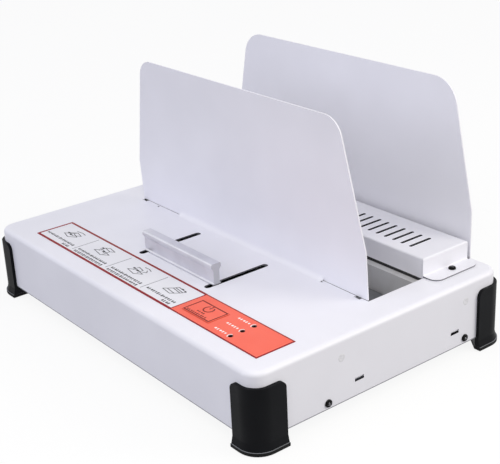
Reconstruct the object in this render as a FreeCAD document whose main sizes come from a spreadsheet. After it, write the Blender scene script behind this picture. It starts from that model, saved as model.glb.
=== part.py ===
"""Desktop hot-melt binding machine as an assembly of separate named pieces.

Millimetres. The origin is at the middle of the footprint on the ground, +X is to the right of
the person at the machine, +Y points away from them and +Z points up.
"""

import FreeCAD
import Part
import math
import operator
import os

import Sketcher

DOCUMENT = FreeCAD.newDocument("binding_machine")
SHEET = DOCUMENT.addObject("Spreadsheet::Sheet", "sizes")
NODES = []
SIGNS = {"+": operator.add, "-": operator.sub, "*": operator.mul, "/": operator.truediv}
VECTOR = FreeCAD.Vector
UP = (0, 0, 1)
BACK = (0, 1, 0)
QUARTER = 90
LAMPS = ("front", "middle", "rear")
# How far a cut or a joint runs past the face that it meets.
PAST = 1.0
# Clip that makes the end of a slot half an octagon, as a share of its width.
OCTAGON = 1 - math.sqrt(0.5)

SIZES = {
    # casing
    "body_width": (395.0, "casing across, taken from an A4 document standing in the trough"),
    "body_depth": (269.0, "casing front to back"),
    "deck_height": (68.0, "deck above the ground"),
    "casing_bottom": (11.7, "lower edge of the walls above the ground"),
    "sheet": (1.2, "steel sheet of the casing, plates and cover"),
    "corner_radius": (14.0, "upright corners of the casing"),
    "edge_radius": (4.0, "folded edge between deck and walls"),
    "work_x": (3.7, "middle of the plates, cover and trough"),
    # front plate, bent up out of the deck
    "bend_y": (4.45, "line where the deck starts to bend up"),
    "bend_radius": (5.0, "inner radius of that bend"),
    "plate_lean": (2.9, "lean of the front plate towards the user, degrees"),
    "plate_top": (217.3, "top edge of the front plate"),
    "plate_knee": (110.0, "height where its sides start to taper"),
    "plate_half": (162.2, "half width below the knee"),
    "plate_half_top": (137.2, "half width at the top edge before rounding"),
    "plate_corner": (19.0, "top corner radius"),
    "plate_gap": (0.2, "free ends of the plate above the deck"),
    "bend_left": (-94.5, "left end of the bend"),
    "bend_right": (113.5, "right end of the bend"),
    "relief_left": (-129.5, "left bend relief hole"),
    "relief_y": (6.9, "bend relief holes, front to back"),
    "relief_size": (1.9, "bend relief hole diameter"),
    # opening in the deck
    "opening_half": (163.4, "half width of the deck opening"),
    "opening_front": (9.3, "front edge of the opening beside the bend"),
    "opening_drop": (20.0, "depth of the notch that the opening leaves in the rear wall"),
    "notch_left": (-154.0, "notch in the opening's front edge under the plate's left end"),
    "notch_right": (156.0, "notch under the plate's right end"),
    "notch_wide": (7.0, "width of those notches"),
    "notch_front": (6.6, "front edge of those notches"),
    # feet
    "foot_proud": (3.0, "corner guard proud of the casing"),
    "foot_reach_x": (24.0, "corner guard along the front and rear"),
    "foot_reach_y": (28.8, "corner guard along the sides"),
    "guard_top": (56.0, "top of the corner guard"),
    "guard_ear": (6.0, "rounding of the guard's top corners"),
    "guard_inner": (13.0, "inner corner of the guard, clear of the casing's corner"),
    "foot_corner": (17.0, "outer corner of the foot"),
    "pad_end": (14.0, "depth of the pad under the casing at its end on the front or rear"),
    "pad_side": (4.0, "depth of the pad at its end on the side"),
    "flare_top": (9.5, "height where the foot starts to flare"),
    "flare": (1.4, "flare of the foot"),
    "sole_height": (3.6, "rubber sole"),
    "sole_ledge": (0.9, "sole proud of the flare"),
    "sole_bevel": (0.8, "bevel round the foot of the sole"),
    "foot_screw_x": (188.0, "foot screw across"),
    "foot_screw_y": (123.5, "foot screw front to back"),
    "foot_bore": (8.8, "bore for the foot screw's head"),
    # cover behind the trough
    "cover_half": (162.8, "half width of the raised cover"),
    "cover_front": (72.8, "front face of the cover"),
    "cover_rear": (127.6, "rear face of the cover"),
    "cover_top": (85.0, "top of the cover"),
    "cover_skirt": (58.0, "lower edge of the cover's skirt"),
    "cover_edge": (1.5, "folded edges of the cover"),
    "seam_wide": (0.5, "open seam beside the cover's front corners"),
    "seam_top": (80.5, "upper end of that seam"),
    "flange_half": (177.4, "half width over the cover's flanges"),
    "flange_front": (73.3, "front of the flanges"),
    "flange_rear": (127.0, "rear of the flanges"),
    "flange_corner": (8.5, "corner of the flanges"),
    "vent_pitch": (10.1, "pitch of the vent slots"),
    "vent_count": (28, "vent slots"),
    "vent_width": (3.0, "vent slot width"),
    "vent_front": (84.0, "front end of the vent slots"),
    "vent_rear": (109.9, "rear end of the vent slots"),
    # rear plate
    "rear_top": (221.5, "top of the rear plate"),
    "rear_foot": (36.0, "lower edge of the rear plate inside the casing"),
    "rear_half": (161.6, "half width below the knee"),
    "rear_half_top": (137.5, "half width at the top before rounding"),
    "rear_knee": (111.0, "height where its sides start to taper"),
    "rear_corner": (26.0, "top corner radius"),
    # deck slots, handle and its studs
    "clamp_x": (5.0, "middle of handle and carriage"),
    "slot_spacing": (99.0, "distance between the deck slots"),
    "slot_width": (6.2, "deck slot width"),
    "slot_front": (-71.0, "front end of the deck slots"),
    "slot_rear": (-3.7, "rear end of the deck slots"),
    "handle_length": (104.0, "handle across"),
    "handle_y": (-60.0, "middle of the handle's web"),
    "handle_web": (6.0, "thickness of the web"),
    "handle_head": (10.0, "width of the top bar"),
    "handle_foot": (68.4, "underside of the handle"),
    "handle_lip": (0.8, "height of the lips along the handle's foot"),
    "lip_out": (1.0, "lips proud of the web"),
    "lip_rise": (1.8, "height over which the lips run out into the web"),
    "handle_neck": (81.5, "top of the web"),
    "handle_shoulder": (84.0, "lower edge of the top bar"),
    "handle_top": (87.5, "top of the handle"),
    "handle_bevel": (1.0, "bevel of the top bar"),
    "handle_fillet": (4.0, "hollow under the handle's top bar"),
    "stud_shift": (0.3, "handle studs inward of the slots' middles"),
    "stud_shoulder": (4.4, "hexagonal shoulder of a handle stud over its corners, in the slot"),
    "stud_pin": (3.0, "upper end of a handle stud"),
    "stud_bore": (3.2, "hole in the handle for that end"),
    "stud_reach": (10.0, "stud inside the handle"),
    "bore_spare": (0.5, "hole beyond the end of the stud"),
    # clamp carriage
    "slide_half": (58.0, "half width of the slide plate"),
    "slide_front": (-108.0, "front end of the slide plate"),
    "slide_rear": (9.0, "rear end of the slide plate"),
    "slide_low": (60.5, "underside of the slide plate"),
    "slide_sheet": (1.5, "thickness of the slide plate"),
    "slide_clip": (7.0, "clipped corners of the slide plate"),
    "window_half": (29.0, "half width of the slide plate's window"),
    "window_front": (-100.0, "front of that window"),
    "window_rear": (-23.0, "rear of that window"),
    "rod_spacing": (80.0, "distance between the guide rods"),
    "rod_size": (6.0, "guide rod diameter"),
    "rod_z": (52.0, "height of the guide rods"),
    "bush_wide": (14.0, "bush block across"),
    "bush_front": (-106.0, "front end of the bush blocks"),
    "bush_long": (40.0, "bush block front to back"),
    "bush_low": (45.5, "underside of the bush blocks"),
    "bush_bore": (6.1, "bore of the bushes, a running fit on the rods"),
    "bracket_sheet": (2.0, "rod bracket sheet"),
    "bracket_front_y": (-122.0, "front face of the front rod bracket"),
    "bracket_rear_y": (-10.0, "front face of the rear rod bracket"),
    "bracket_low": (44.0, "lower edge of the rod brackets"),
    "bracket_margin": (12.0, "front bracket beyond the rods"),
    "bridge_top": (57.0, "top of the rear bracket's bridge"),
    "bridge_half": (70.5, "half width of the rear bracket"),
    "bridge_notch": (60.5, "half width of the gap for the slide plate"),
    "bracket_flange": (12.0, "length of the welded flanges"),
    "jaw_half": (154.0, "half width of the clamp jaw"),
    "jaw_low": (45.5, "lower edge of the jaw"),
    "jaw_thick": (3.0, "upright leg of the jaw"),
    "ledge_front": (-3.0, "front end of the jaw's ledge"),
    "ledge_thick": (2.0, "ledge of the jaw"),
    "ledge_over": (1.0, "ledge beyond the slide plate's sides"),
    # heated trough
    "heat_half": (154.0, "half width of the heating plate"),
    "heat_front": (14.0, "front of the heating plate"),
    "heat_rear": (64.0, "rear of the heating plate"),
    "heat_low": (37.0, "underside of the heating plate"),
    "heat_top": (43.0, "top of the heating plate"),
    "heat_bevel": (1.0, "bevel round the heating plate's top"),
    "element_left": (-126.0, "left end of the heater strip"),
    "element_right": (104.0, "right end of the heater strip"),
    "element_front": (27.0, "front of the heater strip"),
    "element_rear": (51.0, "rear of the heater strip"),
    "element_thick": (2.2, "heater strip"),
    "clamp_plate": (1.2, "clamp plate under the heater strip"),
    "clamp_margin": (3.0, "clamp plate beyond the heater strip"),
    "wool_thick": (8.0, "insulation under the clamp plate"),
    "thermostat_x": (121.0, "thermostat across"),
    "thermostat_size": (16.0, "thermostat can diameter"),
    "thermostat_tall": (10.0, "thermostat can"),
    "ear_wide": (24.0, "thermostat's fixing strap across"),
    "ear_deep": (8.0, "fixing strap front to back"),
    "ear_thick": (1.2, "fixing strap"),
    "sensor_x": (138.0, "temperature sensor across"),
    "sensor_wide": (6.0, "sensor's clip block across"),
    "sensor_deep": (10.0, "clip block front to back"),
    "sensor_tall": (4.0, "clip block"),
    "lead_size": (2.0, "sensor lead"),
    "lead_long": (10.0, "sensor lead's stub"),
    "stand_outer": (158.0, "outer face of the trough brackets"),
    "stand_shelf": (140.0, "inner edge of the bracket shelf"),
    "stand_foot": (128.0, "inner edge of the bracket foot"),
    "stand_front": (18.0, "front of the trough brackets"),
    "stand_rear": (60.0, "rear of the trough brackets"),
    "stand_top": (33.0, "top of the bracket shelf"),
    "spacer_x": (147.0, "ceramic spacers across"),
    "spacer_inset": (8.0, "ceramic spacers from the plate's edges"),
    "spacer_size": (10.0, "hexagonal ceramic spacer over its corners"),
    "liner_rear": (66.0, "inner face of the liner's fence"),
    "liner_low": (20.0, "lower edge of the liner"),
    "liner_top": (64.0, "top of the liner"),
    "liner_wing": (168.0, "half width over the liner's rim"),
    "liner_front": (13.0, "front end of the liner"),
    # control panel
    "label_left": (-153.3, "left edge of the overlay"),
    "label_right": (177.8, "right edge of the overlay"),
    "label_front": (-114.9, "front edge of the overlay"),
    "label_rear": (-78.0, "rear edge of the overlay"),
    "label_corner": (2.0, "overlay corner"),
    "label_thick": (0.3, "overlay film"),
    "key_x": (91.4, "start key across"),
    "key_y": (-97.3, "start key front to back"),
    "key_wide": (35.0, "start key across"),
    "key_deep": (21.2, "start key front to back"),
    "key_low": (68.5, "underside of the key"),
    "key_top": (69.0, "top of the key"),
    "key_gap": (0.4, "gap round the key"),
    "key_bevel": (0.2, "bevel round the top of the key"),
    "key_stem": (5.0, "square stem under the key"),
    "stem_gap": (0.5, "gap round the stem in the deck"),
    "lamp_x": (138.0, "lamps across"),
    "lamp_front_y": (-108.0, "front lamp"),
    "lamp_middle_y": (-96.4, "middle lamp"),
    "lamp_rear_y": (-84.8, "rear lamp"),
    "lamp_size": (3.0, "lamp diameter"),
    "lamp_top": (67.4, "top of a lamp, sunk in its hole"),
    "lamp_hole": (3.6, "hole for a lamp in the overlay"),
    "lamp_well": (4.6, "octagonal hole for a lamp in the deck"),
    "board_left": (68.0, "left edge of the control board"),
    "board_right": (152.0, "right edge of the control board"),
    "board_front": (-119.0, "front edge of the control board"),
    "board_rear": (-74.0, "rear edge of the control board"),
    "board_low": (56.0, "underside of the control board"),
    "board_thick": (1.6, "printed boards"),
    "board_inset": (4.0, "fixings from the board edges"),
    "post_size": (6.0, "hexagonal board posts over their corners"),
    "switch_size": (6.2, "key switch"),
    "switch_tall": (3.5, "key switch"),
    "plunger_size": (3.4, "switch plunger"),
    "plunger_gap": (0.6, "room beside and below the plunger"),
    "plunger_top": (62.4, "top of the switch plunger"),
    "buzzer_x": (121.0, "buzzer across"),
    "buzzer_size": (12.0, "buzzer diameter"),
    "buzzer_tall": (8.5, "buzzer"),
    "chip_left": (95.0, "left edge of the controller"),
    "chip_front": (-116.0, "front edge of the controller"),
    "chip_side": (10.0, "side of the controller"),
    "chip_tall": (2.2, "controller"),
    # power board
    "power_left": (-28.0, "left edge of the power board"),
    "power_right": (86.0, "right edge of the power board"),
    "power_front": (74.0, "front edge of the power board"),
    "power_rear": (122.0, "rear edge of the power board"),
    "power_low": (18.0, "underside of the power board"),
    "core_left": (-18.0, "left end of the transformer core"),
    "core_front": (86.0, "front of the transformer core"),
    "core_wide": (36.0, "transformer core across"),
    "core_deep": (28.0, "transformer core front to back"),
    "core_tall": (24.0, "transformer core"),
    "coil_inset": (6.0, "winding from the ends of the core"),
    "coil_over": (4.0, "winding beyond the core's sides, and below its top"),
    "relay_left": (28.0, "left side of the relay"),
    "relay_front": (96.0, "front of the relay"),
    "relay_wide": (19.0, "relay across"),
    "relay_deep": (16.0, "relay front to back"),
    "relay_tall": (15.5, "relay"),
    "strip_left": (52.0, "left end of the terminal block"),
    "strip_front": (106.0, "front of the terminal block"),
    "strip_deep": (11.0, "terminal block front to back"),
    "strip_tall": (11.0, "terminal block"),
    "well_count": (4, "terminals"),
    "well_pitch": (7.0, "pitch of the terminals"),
    "well_wide": (4.0, "screw well of a terminal across"),
    "well_deep": (5.0, "screw well front to back"),
    "well_down": (6.0, "screw well below the top of the block"),
    "film_left": (29.0, "left side of the film capacitor"),
    "film_front": (79.0, "front of the film capacitor"),
    "film_wide": (18.0, "film capacitor across"),
    "film_deep": (9.0, "film capacitor front to back"),
    "film_tall": (15.0, "film capacitor"),
    # ribbon between the boards
    "ribbon_x": (74.0, "left edge of the ribbon"),
    "ribbon_wide": (9.0, "ribbon across"),
    "ribbon_thick": (0.9, "ribbon"),
    "ribbon_lift": (2.0, "ribbon above the base plate"),
    "ribbon_rise": (70.5, "where the ribbon rises to the power board"),
    "ribbon_crest": (3.0, "ribbon above the power board"),
    "header_y": (-82.5, "rear face of the ribbon at the control board"),
    "header_wide": (11.0, "ribbon header across"),
    "header_deep": (7.0, "ribbon header front to back"),
    "header_tall": (5.5, "ribbon header"),
    "header_in": (4.0, "power board's header from its front edge"),
    # appliance inlet
    "inlet_x": (140.0, "appliance inlet across"),
    "socket_z": (24.0, "height of inlet and switch"),
    "case_gap": (0.2, "gap round a housing in the rear wall"),
    "inlet_wide": (27.6, "inlet housing across"),
    "inlet_tall": (20.4, "inlet housing"),
    "inlet_deep": (20.0, "inlet housing behind the wall"),
    "ears_wide": (50.0, "inlet flange across"),
    "ears_tall": (22.4, "inlet flange"),
    "ears_thick": (2.5, "inlet flange"),
    "ears_corner": (4.0, "corner of the inlet flange"),
    "socket_wide": (24.2, "socket across"),
    "socket_tall": (16.2, "socket"),
    "socket_clip": (4.5, "clipped corners of the socket"),
    "socket_deep": (18.0, "socket"),
    "pin_wide": (2.0, "pin across"),
    "pin_tall": (4.0, "pin"),
    "pin_long": (14.0, "pin"),
    "pin_pitch": (7.0, "outer pins from the middle"),
    "pin_drop": (1.6, "outer pins below the middle"),
    "earth_rise": (2.4, "earth pin above the middle"),
    "tab_wide": (4.8, "blade tab"),
    "tab_thick": (0.8, "blade tab"),
    "tab_long": (8.0, "blade tab"),
    "tab_pitch": (8.0, "distance between the thermostat's tabs"),
    # rocker switch
    "rocker_x": (100.0, "rocker switch across"),
    "rocker_tilt": (7.0, "tilt of the rocker at either end, degrees"),
    "bezel_wide": (22.0, "switch bezel across"),
    "bezel_tall": (15.6, "switch bezel"),
    "bezel_thick": (2.0, "switch bezel"),
    "switch_wide": (19.2, "switch housing across"),
    "switch_high": (13.2, "switch housing"),
    "switch_deep": (14.0, "switch housing behind the wall"),
    "throat_wide": (15.2, "opening for the rocker across"),
    "throat_tall": (10.0, "opening for the rocker"),
    "throat_deep": (10.0, "opening for the rocker"),
    "pivot_in": (3.5, "rocker's axis behind the wall's outer face"),
    "trunnion_size": (2.0, "rocker trunnion"),
    "trunnion_long": (11.2, "rocker over its trunnions"),
    "trunnion_gap": (0.1, "play of the trunnions, in diameter"),
    "trunnion_spare": (0.4, "play of the trunnions along the axis"),
    "rocker_wide": (13.2, "rocker across"),
    "rocker_tall": (9.4, "rocker"),
    "rocker_back": (2.0, "back of the rocker behind its axis"),
    "rocker_tip": (4.6, "ends of the rocker above its axis"),
    "rocker_valley": (3.4, "middle of the rocker above its axis"),
    # side wall details
    "lance_front": (-30.1, "front bridge lance"),
    "lance_rear": (78.8, "rear bridge lance"),
    "lance_low": (24.7, "lower edge of the lances"),
    "lance_long": (9.6, "bridge lance"),
    "lower_slit": (1.5, "slit below the bridge"),
    "upper_slit": (0.9, "slit above the bridge"),
    "bridge_tall": (0.9, "bridge pressed inward between the slits"),
    "bridge_root": (1.0, "end of the bridge on the wall's inner face"),
    # base plate
    "base_gap": (0.2, "gap between the base plate and the end walls"),
    "base_flange": (22.5, "top of the base plate's flanges"),
    "base_flange_half": (112.0, "half length of those flanges"),
    "base_vents": (10, "vent slots under the heater"),
}


class Size:
    """A number together with the sheet expression it comes from."""

    def __init__(self, value, text):
        self.value = value
        self.text = text

    def __add__(self, other):
        return combine(self, "+", other)

    def __radd__(self, other):
        return combine(other, "+", self)

    def __sub__(self, other):
        return combine(self, "-", other)

    def __rsub__(self, other):
        return combine(other, "-", self)

    def __mul__(self, other):
        return combine(self, "*", other)

    def __rmul__(self, other):
        return combine(other, "*", self)

    def __truediv__(self, other):
        return combine(self, "/", other)

    def __neg__(self):
        return combine(-1, "*", self)


def number(size):
    return size.value if isinstance(size, Size) else float(size)


def text_of(size):
    return size.text if isinstance(size, Size) else "(%.6g)" % size


def combine(left, sign, right):
    value = SIGNS[sign](number(left), number(right))
    return Size(value, "(%s %s %s)" % (text_of(left), sign, text_of(right)))


def cosine(angle):
    return Size(math.cos(math.radians(number(angle))), "cos(%s)" % text_of(angle))


def sine(angle):
    return Size(math.sin(math.radians(number(angle))), "sin(%s)" % text_of(angle))


def fill_sheet():
    for row, (name, (value, note)) in enumerate(SIZES.items(), start=1):
        SHEET.set("A%d" % row, name)
        SHEET.set("B%d" % row, str(value))
        SHEET.set("C%d" % row, note)
        SHEET.setAlias("B%d" % row, name)
    DOCUMENT.recompute()


def size(name):
    return Size(float(SIZES[name][0]), "sizes." + name)


def put(thing, field, amount):
    """Set a property and tie it to the sheet."""
    if "." not in field and "[" not in field:
        setattr(thing, field, number(amount))
    if isinstance(amount, Size) or "." in field:
        thing.setExpression(field, text_of(amount))


def keep(name, thing):
    """Name a finished piece and list it for export."""
    thing.Label = name
    NODES.append((name, thing))
    return thing


def new_body(name):
    return DOCUMENT.addObject("PartDesign::Body", name + "_body")


def new_sketch(body, plane, level=0.0):
    """A sketch on one of the body's own planes, at a level along the world axis across it."""
    sketch = body.newObject("Sketcher::SketchObject", body.Name + "_sketch")
    for feature in body.Origin.OriginFeatures:
        if feature.Role == plane + "_Plane":
            sketch.AttachmentSupport = [(feature, "")]
    sketch.MapMode = "FlatFace"
    put(sketch, "AttachmentOffset.Base.z", -1 * level if plane == "XZ" else level)
    return sketch


def pin(sketch, geometry, point, place):
    """Fix a point of the sketch at bound distances from the sketch origin."""
    for kind, amount in zip(("DistanceX", "DistanceY"), place):
        rule = Sketcher.Constraint(kind, -1, 1, geometry, point, number(amount))
        index = sketch.addConstraint(rule)
        put(sketch, "Constraints[%d]" % index, amount)


def flat(place):
    return VECTOR(number(place[0]), number(place[1]), 0)


def polygon(sketch, corners):
    """A closed outline through bound corners."""
    first = sketch.GeometryCount
    count = len(corners)
    for index in range(count):
        line = Part.LineSegment(flat(corners[index]), flat(corners[(index + 1) % count]))
        sketch.addGeometry(line, False)
    for index in range(count):
        after = first + (index + 1) % count
        sketch.addConstraint(Sketcher.Constraint("Coincident", first + index, 2, after, 1))
        pin(sketch, first + index, 1, corners[index])


def rounded(sketch, low, high, radii):
    """An upright rectangle with a radius (or none) at each corner, from the low corner round."""
    corners = [(low[0], low[1]), (high[0], low[1]), (high[0], high[1]), (low[0], high[1])]
    points = [flat(corner) for corner in corners]
    lines = []
    arcs = []
    for index in range(4):
        after = (index + 1) % 4
        along = (points[after] - points[index]).normalize()
        start = points[index] + along * number(radii[index])
        end = points[after] - along * number(radii[after])
        lines.append(sketch.addGeometry(Part.LineSegment(start, end), False))
    for index in range(4):
        radius = number(radii[index])
        arc = None
        if radius > 0:
            before = (points[index - 1] - points[index]).normalize()
            after = (points[(index + 1) % 4] - points[index]).normalize()
            centre = points[index] + (before + after) * radius
            turn = math.atan2(-after.y, -after.x)
            circle = Part.Circle(centre, VECTOR(0, 0, 1), radius)
            arc = sketch.addGeometry(Part.ArcOfCircle(circle, turn - math.pi / 2, turn), False)
            ends = [sketch.getPoint(arc, 1), sketch.getPoint(arc, 2)]
            arrive = points[index] + before * radius
            if (ends[0] - arrive).Length > (ends[1] - arrive).Length:
                sketch.delGeometry(arc)
                arc = sketch.addGeometry(Part.ArcOfCircle(circle, turn, turn + math.pi / 2), False)
        arcs.append(arc)
    for index in range(4):
        level = index % 2 == 0
        kind = "Horizontal" if level else "Vertical"
        sketch.addConstraint(Sketcher.Constraint(kind, lines[index]))
        across = "DistanceY" if level else "DistanceX"
        amount = corners[index][1] if level else corners[index][0]
        rule = Sketcher.Constraint(across, -1, 1, lines[index], 1, number(amount))
        put(sketch, "Constraints[%d]" % sketch.addConstraint(rule), amount)
    for index in range(4):
        before = lines[index - 1]
        arc = arcs[index]
        if arc is None:
            sketch.addConstraint(Sketcher.Constraint("Coincident", before, 2, lines[index], 1))
            continue
        sketch.addConstraint(Sketcher.Constraint("Tangent", before, 2, arc, 1))
        sketch.addConstraint(Sketcher.Constraint("Tangent", arc, 2, lines[index], 1))
        rule = Sketcher.Constraint("Radius", arc, number(radii[index]))
        put(sketch, "Constraints[%d]" % sketch.addConstraint(rule), radii[index])


def rectangle(sketch, low, high):
    polygon(sketch, [low, (high[0], low[1]), high, (low[0], high[1])])


def circle(sketch, centre, diameter):
    shape = Part.Circle(flat(centre), VECTOR(0, 0, 1), number(diameter) / 2)
    index = sketch.addGeometry(shape, False)
    pin(sketch, index, 3, centre)
    rule = Sketcher.Constraint("Diameter", index, number(diameter))
    put(sketch, "Constraints[%d]" % sketch.addConstraint(rule), diameter)


def obround(sketch, middle, low, high, width):
    """A slot along the sketch's second axis, between the levels low and high."""
    radius = width / 2
    ends = [(middle, low + radius), (middle, high - radius)]
    arcs = []
    for centre, start in zip(ends, (math.pi, 0.0)):
        shape = Part.Circle(flat(centre), VECTOR(0, 0, 1), number(radius))
        arcs.append(sketch.addGeometry(Part.ArcOfCircle(shape, start, start + math.pi), False))
    sides = []
    for first, second, side in ((0, 1, 1), (1, 0, -1)):
        offset = VECTOR(side * number(radius), 0, 0)
        line = Part.LineSegment(flat(ends[first]) + offset, flat(ends[second]) + offset)
        sides.append(sketch.addGeometry(line, False))
    for arc, centre in zip(arcs, ends):
        pin(sketch, arc, 3, centre)
    rule = Sketcher.Constraint("Radius", arcs[0], number(radius))
    put(sketch, "Constraints[%d]" % sketch.addConstraint(rule), radius)
    sketch.addConstraint(Sketcher.Constraint("Equal", arcs[0], arcs[1]))
    order = [arcs[0], sides[0], arcs[1], sides[1]]
    for index in range(4):
        rule = Sketcher.Constraint("Tangent", order[index], 2, order[(index + 1) % 4], 1)
        sketch.addConstraint(rule)


def clipped_slot(sketch, middle, low, high, width):
    """A narrow slot along the sketch's second axis with clipped ends."""
    half = width / 2
    clip = width * OCTAGON
    corners = [(middle - half + clip, low), (middle + half - clip, low), (middle + half, low + clip)]
    corners += [(middle + half, high - clip), (middle + half - clip, high), (middle - half + clip, high)]
    corners += [(middle - half, high - clip), (middle - half, low + clip)]
    polygon(sketch, corners)


def pad(body, sketch, length, back=False):
    feature = body.newObject("PartDesign::Pad", body.Name + "_pad")
    feature.Profile = sketch
    feature.Reversed = back
    put(feature, "Length", length)
    settle(body, feature)
    return feature


def pocket(body, sketch, length, forward=False):
    """Cut along the sketch's normal (forward) or against it."""
    before = body.Shape.Volume
    feature = body.newObject("PartDesign::Pocket", body.Name + "_pocket")
    feature.Profile = sketch
    feature.Reversed = forward
    put(feature, "Length", length)
    settle(body, feature)
    if not body.Shape.Volume < before:
        raise RuntimeError("pocket cuts nothing in " + body.Name)
    return feature


def pocket_both(body, sketch, length):
    """Cut to both sides of the sketch, half the length to each."""
    before = body.Shape.Volume
    feature = body.newObject("PartDesign::Pocket", body.Name + "_pocket")
    feature.Profile = sketch
    feature.SideType = "Symmetric"
    put(feature, "Length", length)
    settle(body, feature)
    if not body.Shape.Volume < before:
        raise RuntimeError("pocket cuts nothing in " + body.Name)
    return feature


def settle(body, feature):
    body.Tip = feature
    DOCUMENT.recompute()
    if "Invalid" in feature.State or feature.Shape.isNull():
        raise RuntimeError("%s failed in %s" % (feature.Name, body.Name))


def round_edges(body, radius, chosen):
    """Round the edges of the body so far that the test picks out."""
    base = body.Tip
    names = []
    for index, edge in enumerate(base.Shape.Edges, start=1):
        if chosen(edge):
            names.append("Edge%d" % index)
    if not names:
        raise RuntimeError("no edge to round in " + body.Name)
    feature = body.newObject("PartDesign::Fillet", body.Name + "_fillet")
    feature.Base = (base, names)
    put(feature, "Radius", radius)
    settle(body, feature)
    return feature


def bevel_edges(body, amount, chosen):
    """Bevel the edges of the body so far that the test picks out."""
    base = body.Tip
    names = []
    for index, edge in enumerate(base.Shape.Edges, start=1):
        if chosen(edge):
            names.append("Edge%d" % index)
    if not names:
        raise RuntimeError("no edge to bevel in " + body.Name)
    feature = body.newObject("PartDesign::Chamfer", body.Name + "_bevel")
    feature.Base = (base, names)
    put(feature, "Size", amount)
    settle(body, feature)
    return feature


def near(value, target, tolerance=0.01):
    return abs(value - number(target)) < tolerance


def level_edge(height):
    """Picks edges that lie flat at a height."""
    def test(edge):
        box = edge.BoundBox
        return near(box.ZMin, height) and near(box.ZMax, height)
    return test


def edge_at(x=None, y=None, z=None):
    """Picks straight or curved edges whose whole length has the given coordinates."""
    def test(edge):
        box = edge.BoundBox
        spans = ((box.XMin, box.XMax, x), (box.YMin, box.YMax, y), (box.ZMin, box.ZMax, z))
        for low, high, target in spans:
            if target is None:
                continue
            if not (near(low, target) and near(high, target)):
                return False
        return True
    return test


def any_of(*tests):
    def test(edge):
        return any(check(edge) for check in tests)
    return test


def place(thing, spot, direction=None):
    if direction is not None:
        turned = FreeCAD.Rotation(VECTOR(*UP), VECTOR(*direction))
        thing.Placement = FreeCAD.Placement(VECTOR(), turned)
    for axis, amount in zip("xyz", spot):
        put(thing, "Placement.Base." + axis, amount)


def block(low, high):
    """A plain box between two bound corners."""
    thing = DOCUMENT.addObject("Part::Box", "block")
    for field, start, end in zip(("Length", "Width", "Height"), low, high):
        put(thing, field, end - start)
    place(thing, low)
    return thing


def block_of(corner, extent):
    """A plain box from its low corner and its extent."""
    return block(corner, tuple(start + length for start, length in zip(corner, extent)))


def rod(start, direction, diameter, length):
    thing = DOCUMENT.addObject("Part::Cylinder", "rod")
    put(thing, "Radius", diameter / 2)
    put(thing, "Height", length)
    place(thing, start, direction)
    return thing


def joined(pieces):
    thing = DOCUMENT.addObject("Part::MultiFuse", "joined")
    thing.Shapes = pieces
    return thing


def without(base, tool):
    thing = DOCUMENT.addObject("Part::Cut", "without")
    thing.Base = base
    thing.Tool = tool
    return thing


def group(pieces):
    thing = DOCUMENT.addObject("Part::Compound", "group")
    thing.Links = pieces
    return thing


def casing_half():
    return size("body_width") / 2, size("body_depth") / 2


def front_line(height):
    """Where the front face of the leaning plate is at a height."""
    lean = size("plate_lean")
    start_y = size("bend_y") + size("bend_radius") * cosine(lean)
    start_z = size("deck_height") + size("bend_radius") + size("bend_radius") * sine(lean)
    return start_y - (height - start_z) * sine(lean) / cosine(lean)


def bend_end(radius):
    """The end of the bend at a radius from its axis."""
    lean = size("plate_lean")
    axis_z = size("deck_height") + size("bend_radius")
    return size("bend_y") + radius * cosine(lean), axis_z + radius * sine(lean)


def rear_line(height):
    return front_line(height) + size("sheet") / cosine(size("plate_lean"))


def plate_strip(body, left, right, low, high):
    """A strip of the leaning plate between two pairs of front and rear points."""
    sketch = new_sketch(body, "YZ", left)
    polygon(sketch, [low[0], high[0], high[1], low[1]])
    return pad(body, sketch, right - left)


def casing_box(body):
    """The folded box: deck and four walls, open below."""
    half_x, half_y = casing_half()
    corner = size("corner_radius")
    sheet = size("sheet")
    edge = size("edge_radius")
    outer = new_sketch(body, "XY", size("casing_bottom"))
    rounded(outer, (-half_x, -half_y), (half_x, half_y), [corner] * 4)
    pad(body, outer, size("deck_height") - size("casing_bottom"))
    round_edges(body, edge, level_edge(size("deck_height")))
    inner = new_sketch(body, "XY", size("casing_bottom"))
    low = (sheet - half_x, sheet - half_y)
    rounded(inner, low, (half_x - sheet, half_y - sheet), [corner - sheet] * 4)
    pocket(body, inner, size("deck_height") - size("casing_bottom") - sheet, forward=True)


def casing_opening(body):
    """The hole that the bent-up plate leaves, out through the top of the rear wall."""
    left = size("work_x") - size("opening_half")
    right = size("work_x") + size("opening_half")
    front = size("opening_front")
    bend = size("bend_y")
    rear = size("body_depth") / 2 + PAST
    sketch = new_sketch(body, "XY", size("deck_height"))
    corners = [(left, front)] + notch(size("notch_left"))
    corners += [(size("bend_left"), front), (size("bend_left"), bend)]
    corners += [(size("bend_right"), bend), (size("bend_right"), front)]
    corners += notch(size("notch_right")) + [(right, front), (right, rear), (left, rear)]
    polygon(sketch, corners)
    pocket(body, sketch, size("opening_drop"))


def notch(middle):
    """Corners of a notch in the opening's front edge, from left to right."""
    half = size("notch_wide") / 2
    front = size("opening_front")
    deep = size("notch_front")
    return [(middle - half, front), (middle - half, deep), (middle + half, deep), (middle + half, front)]


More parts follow.
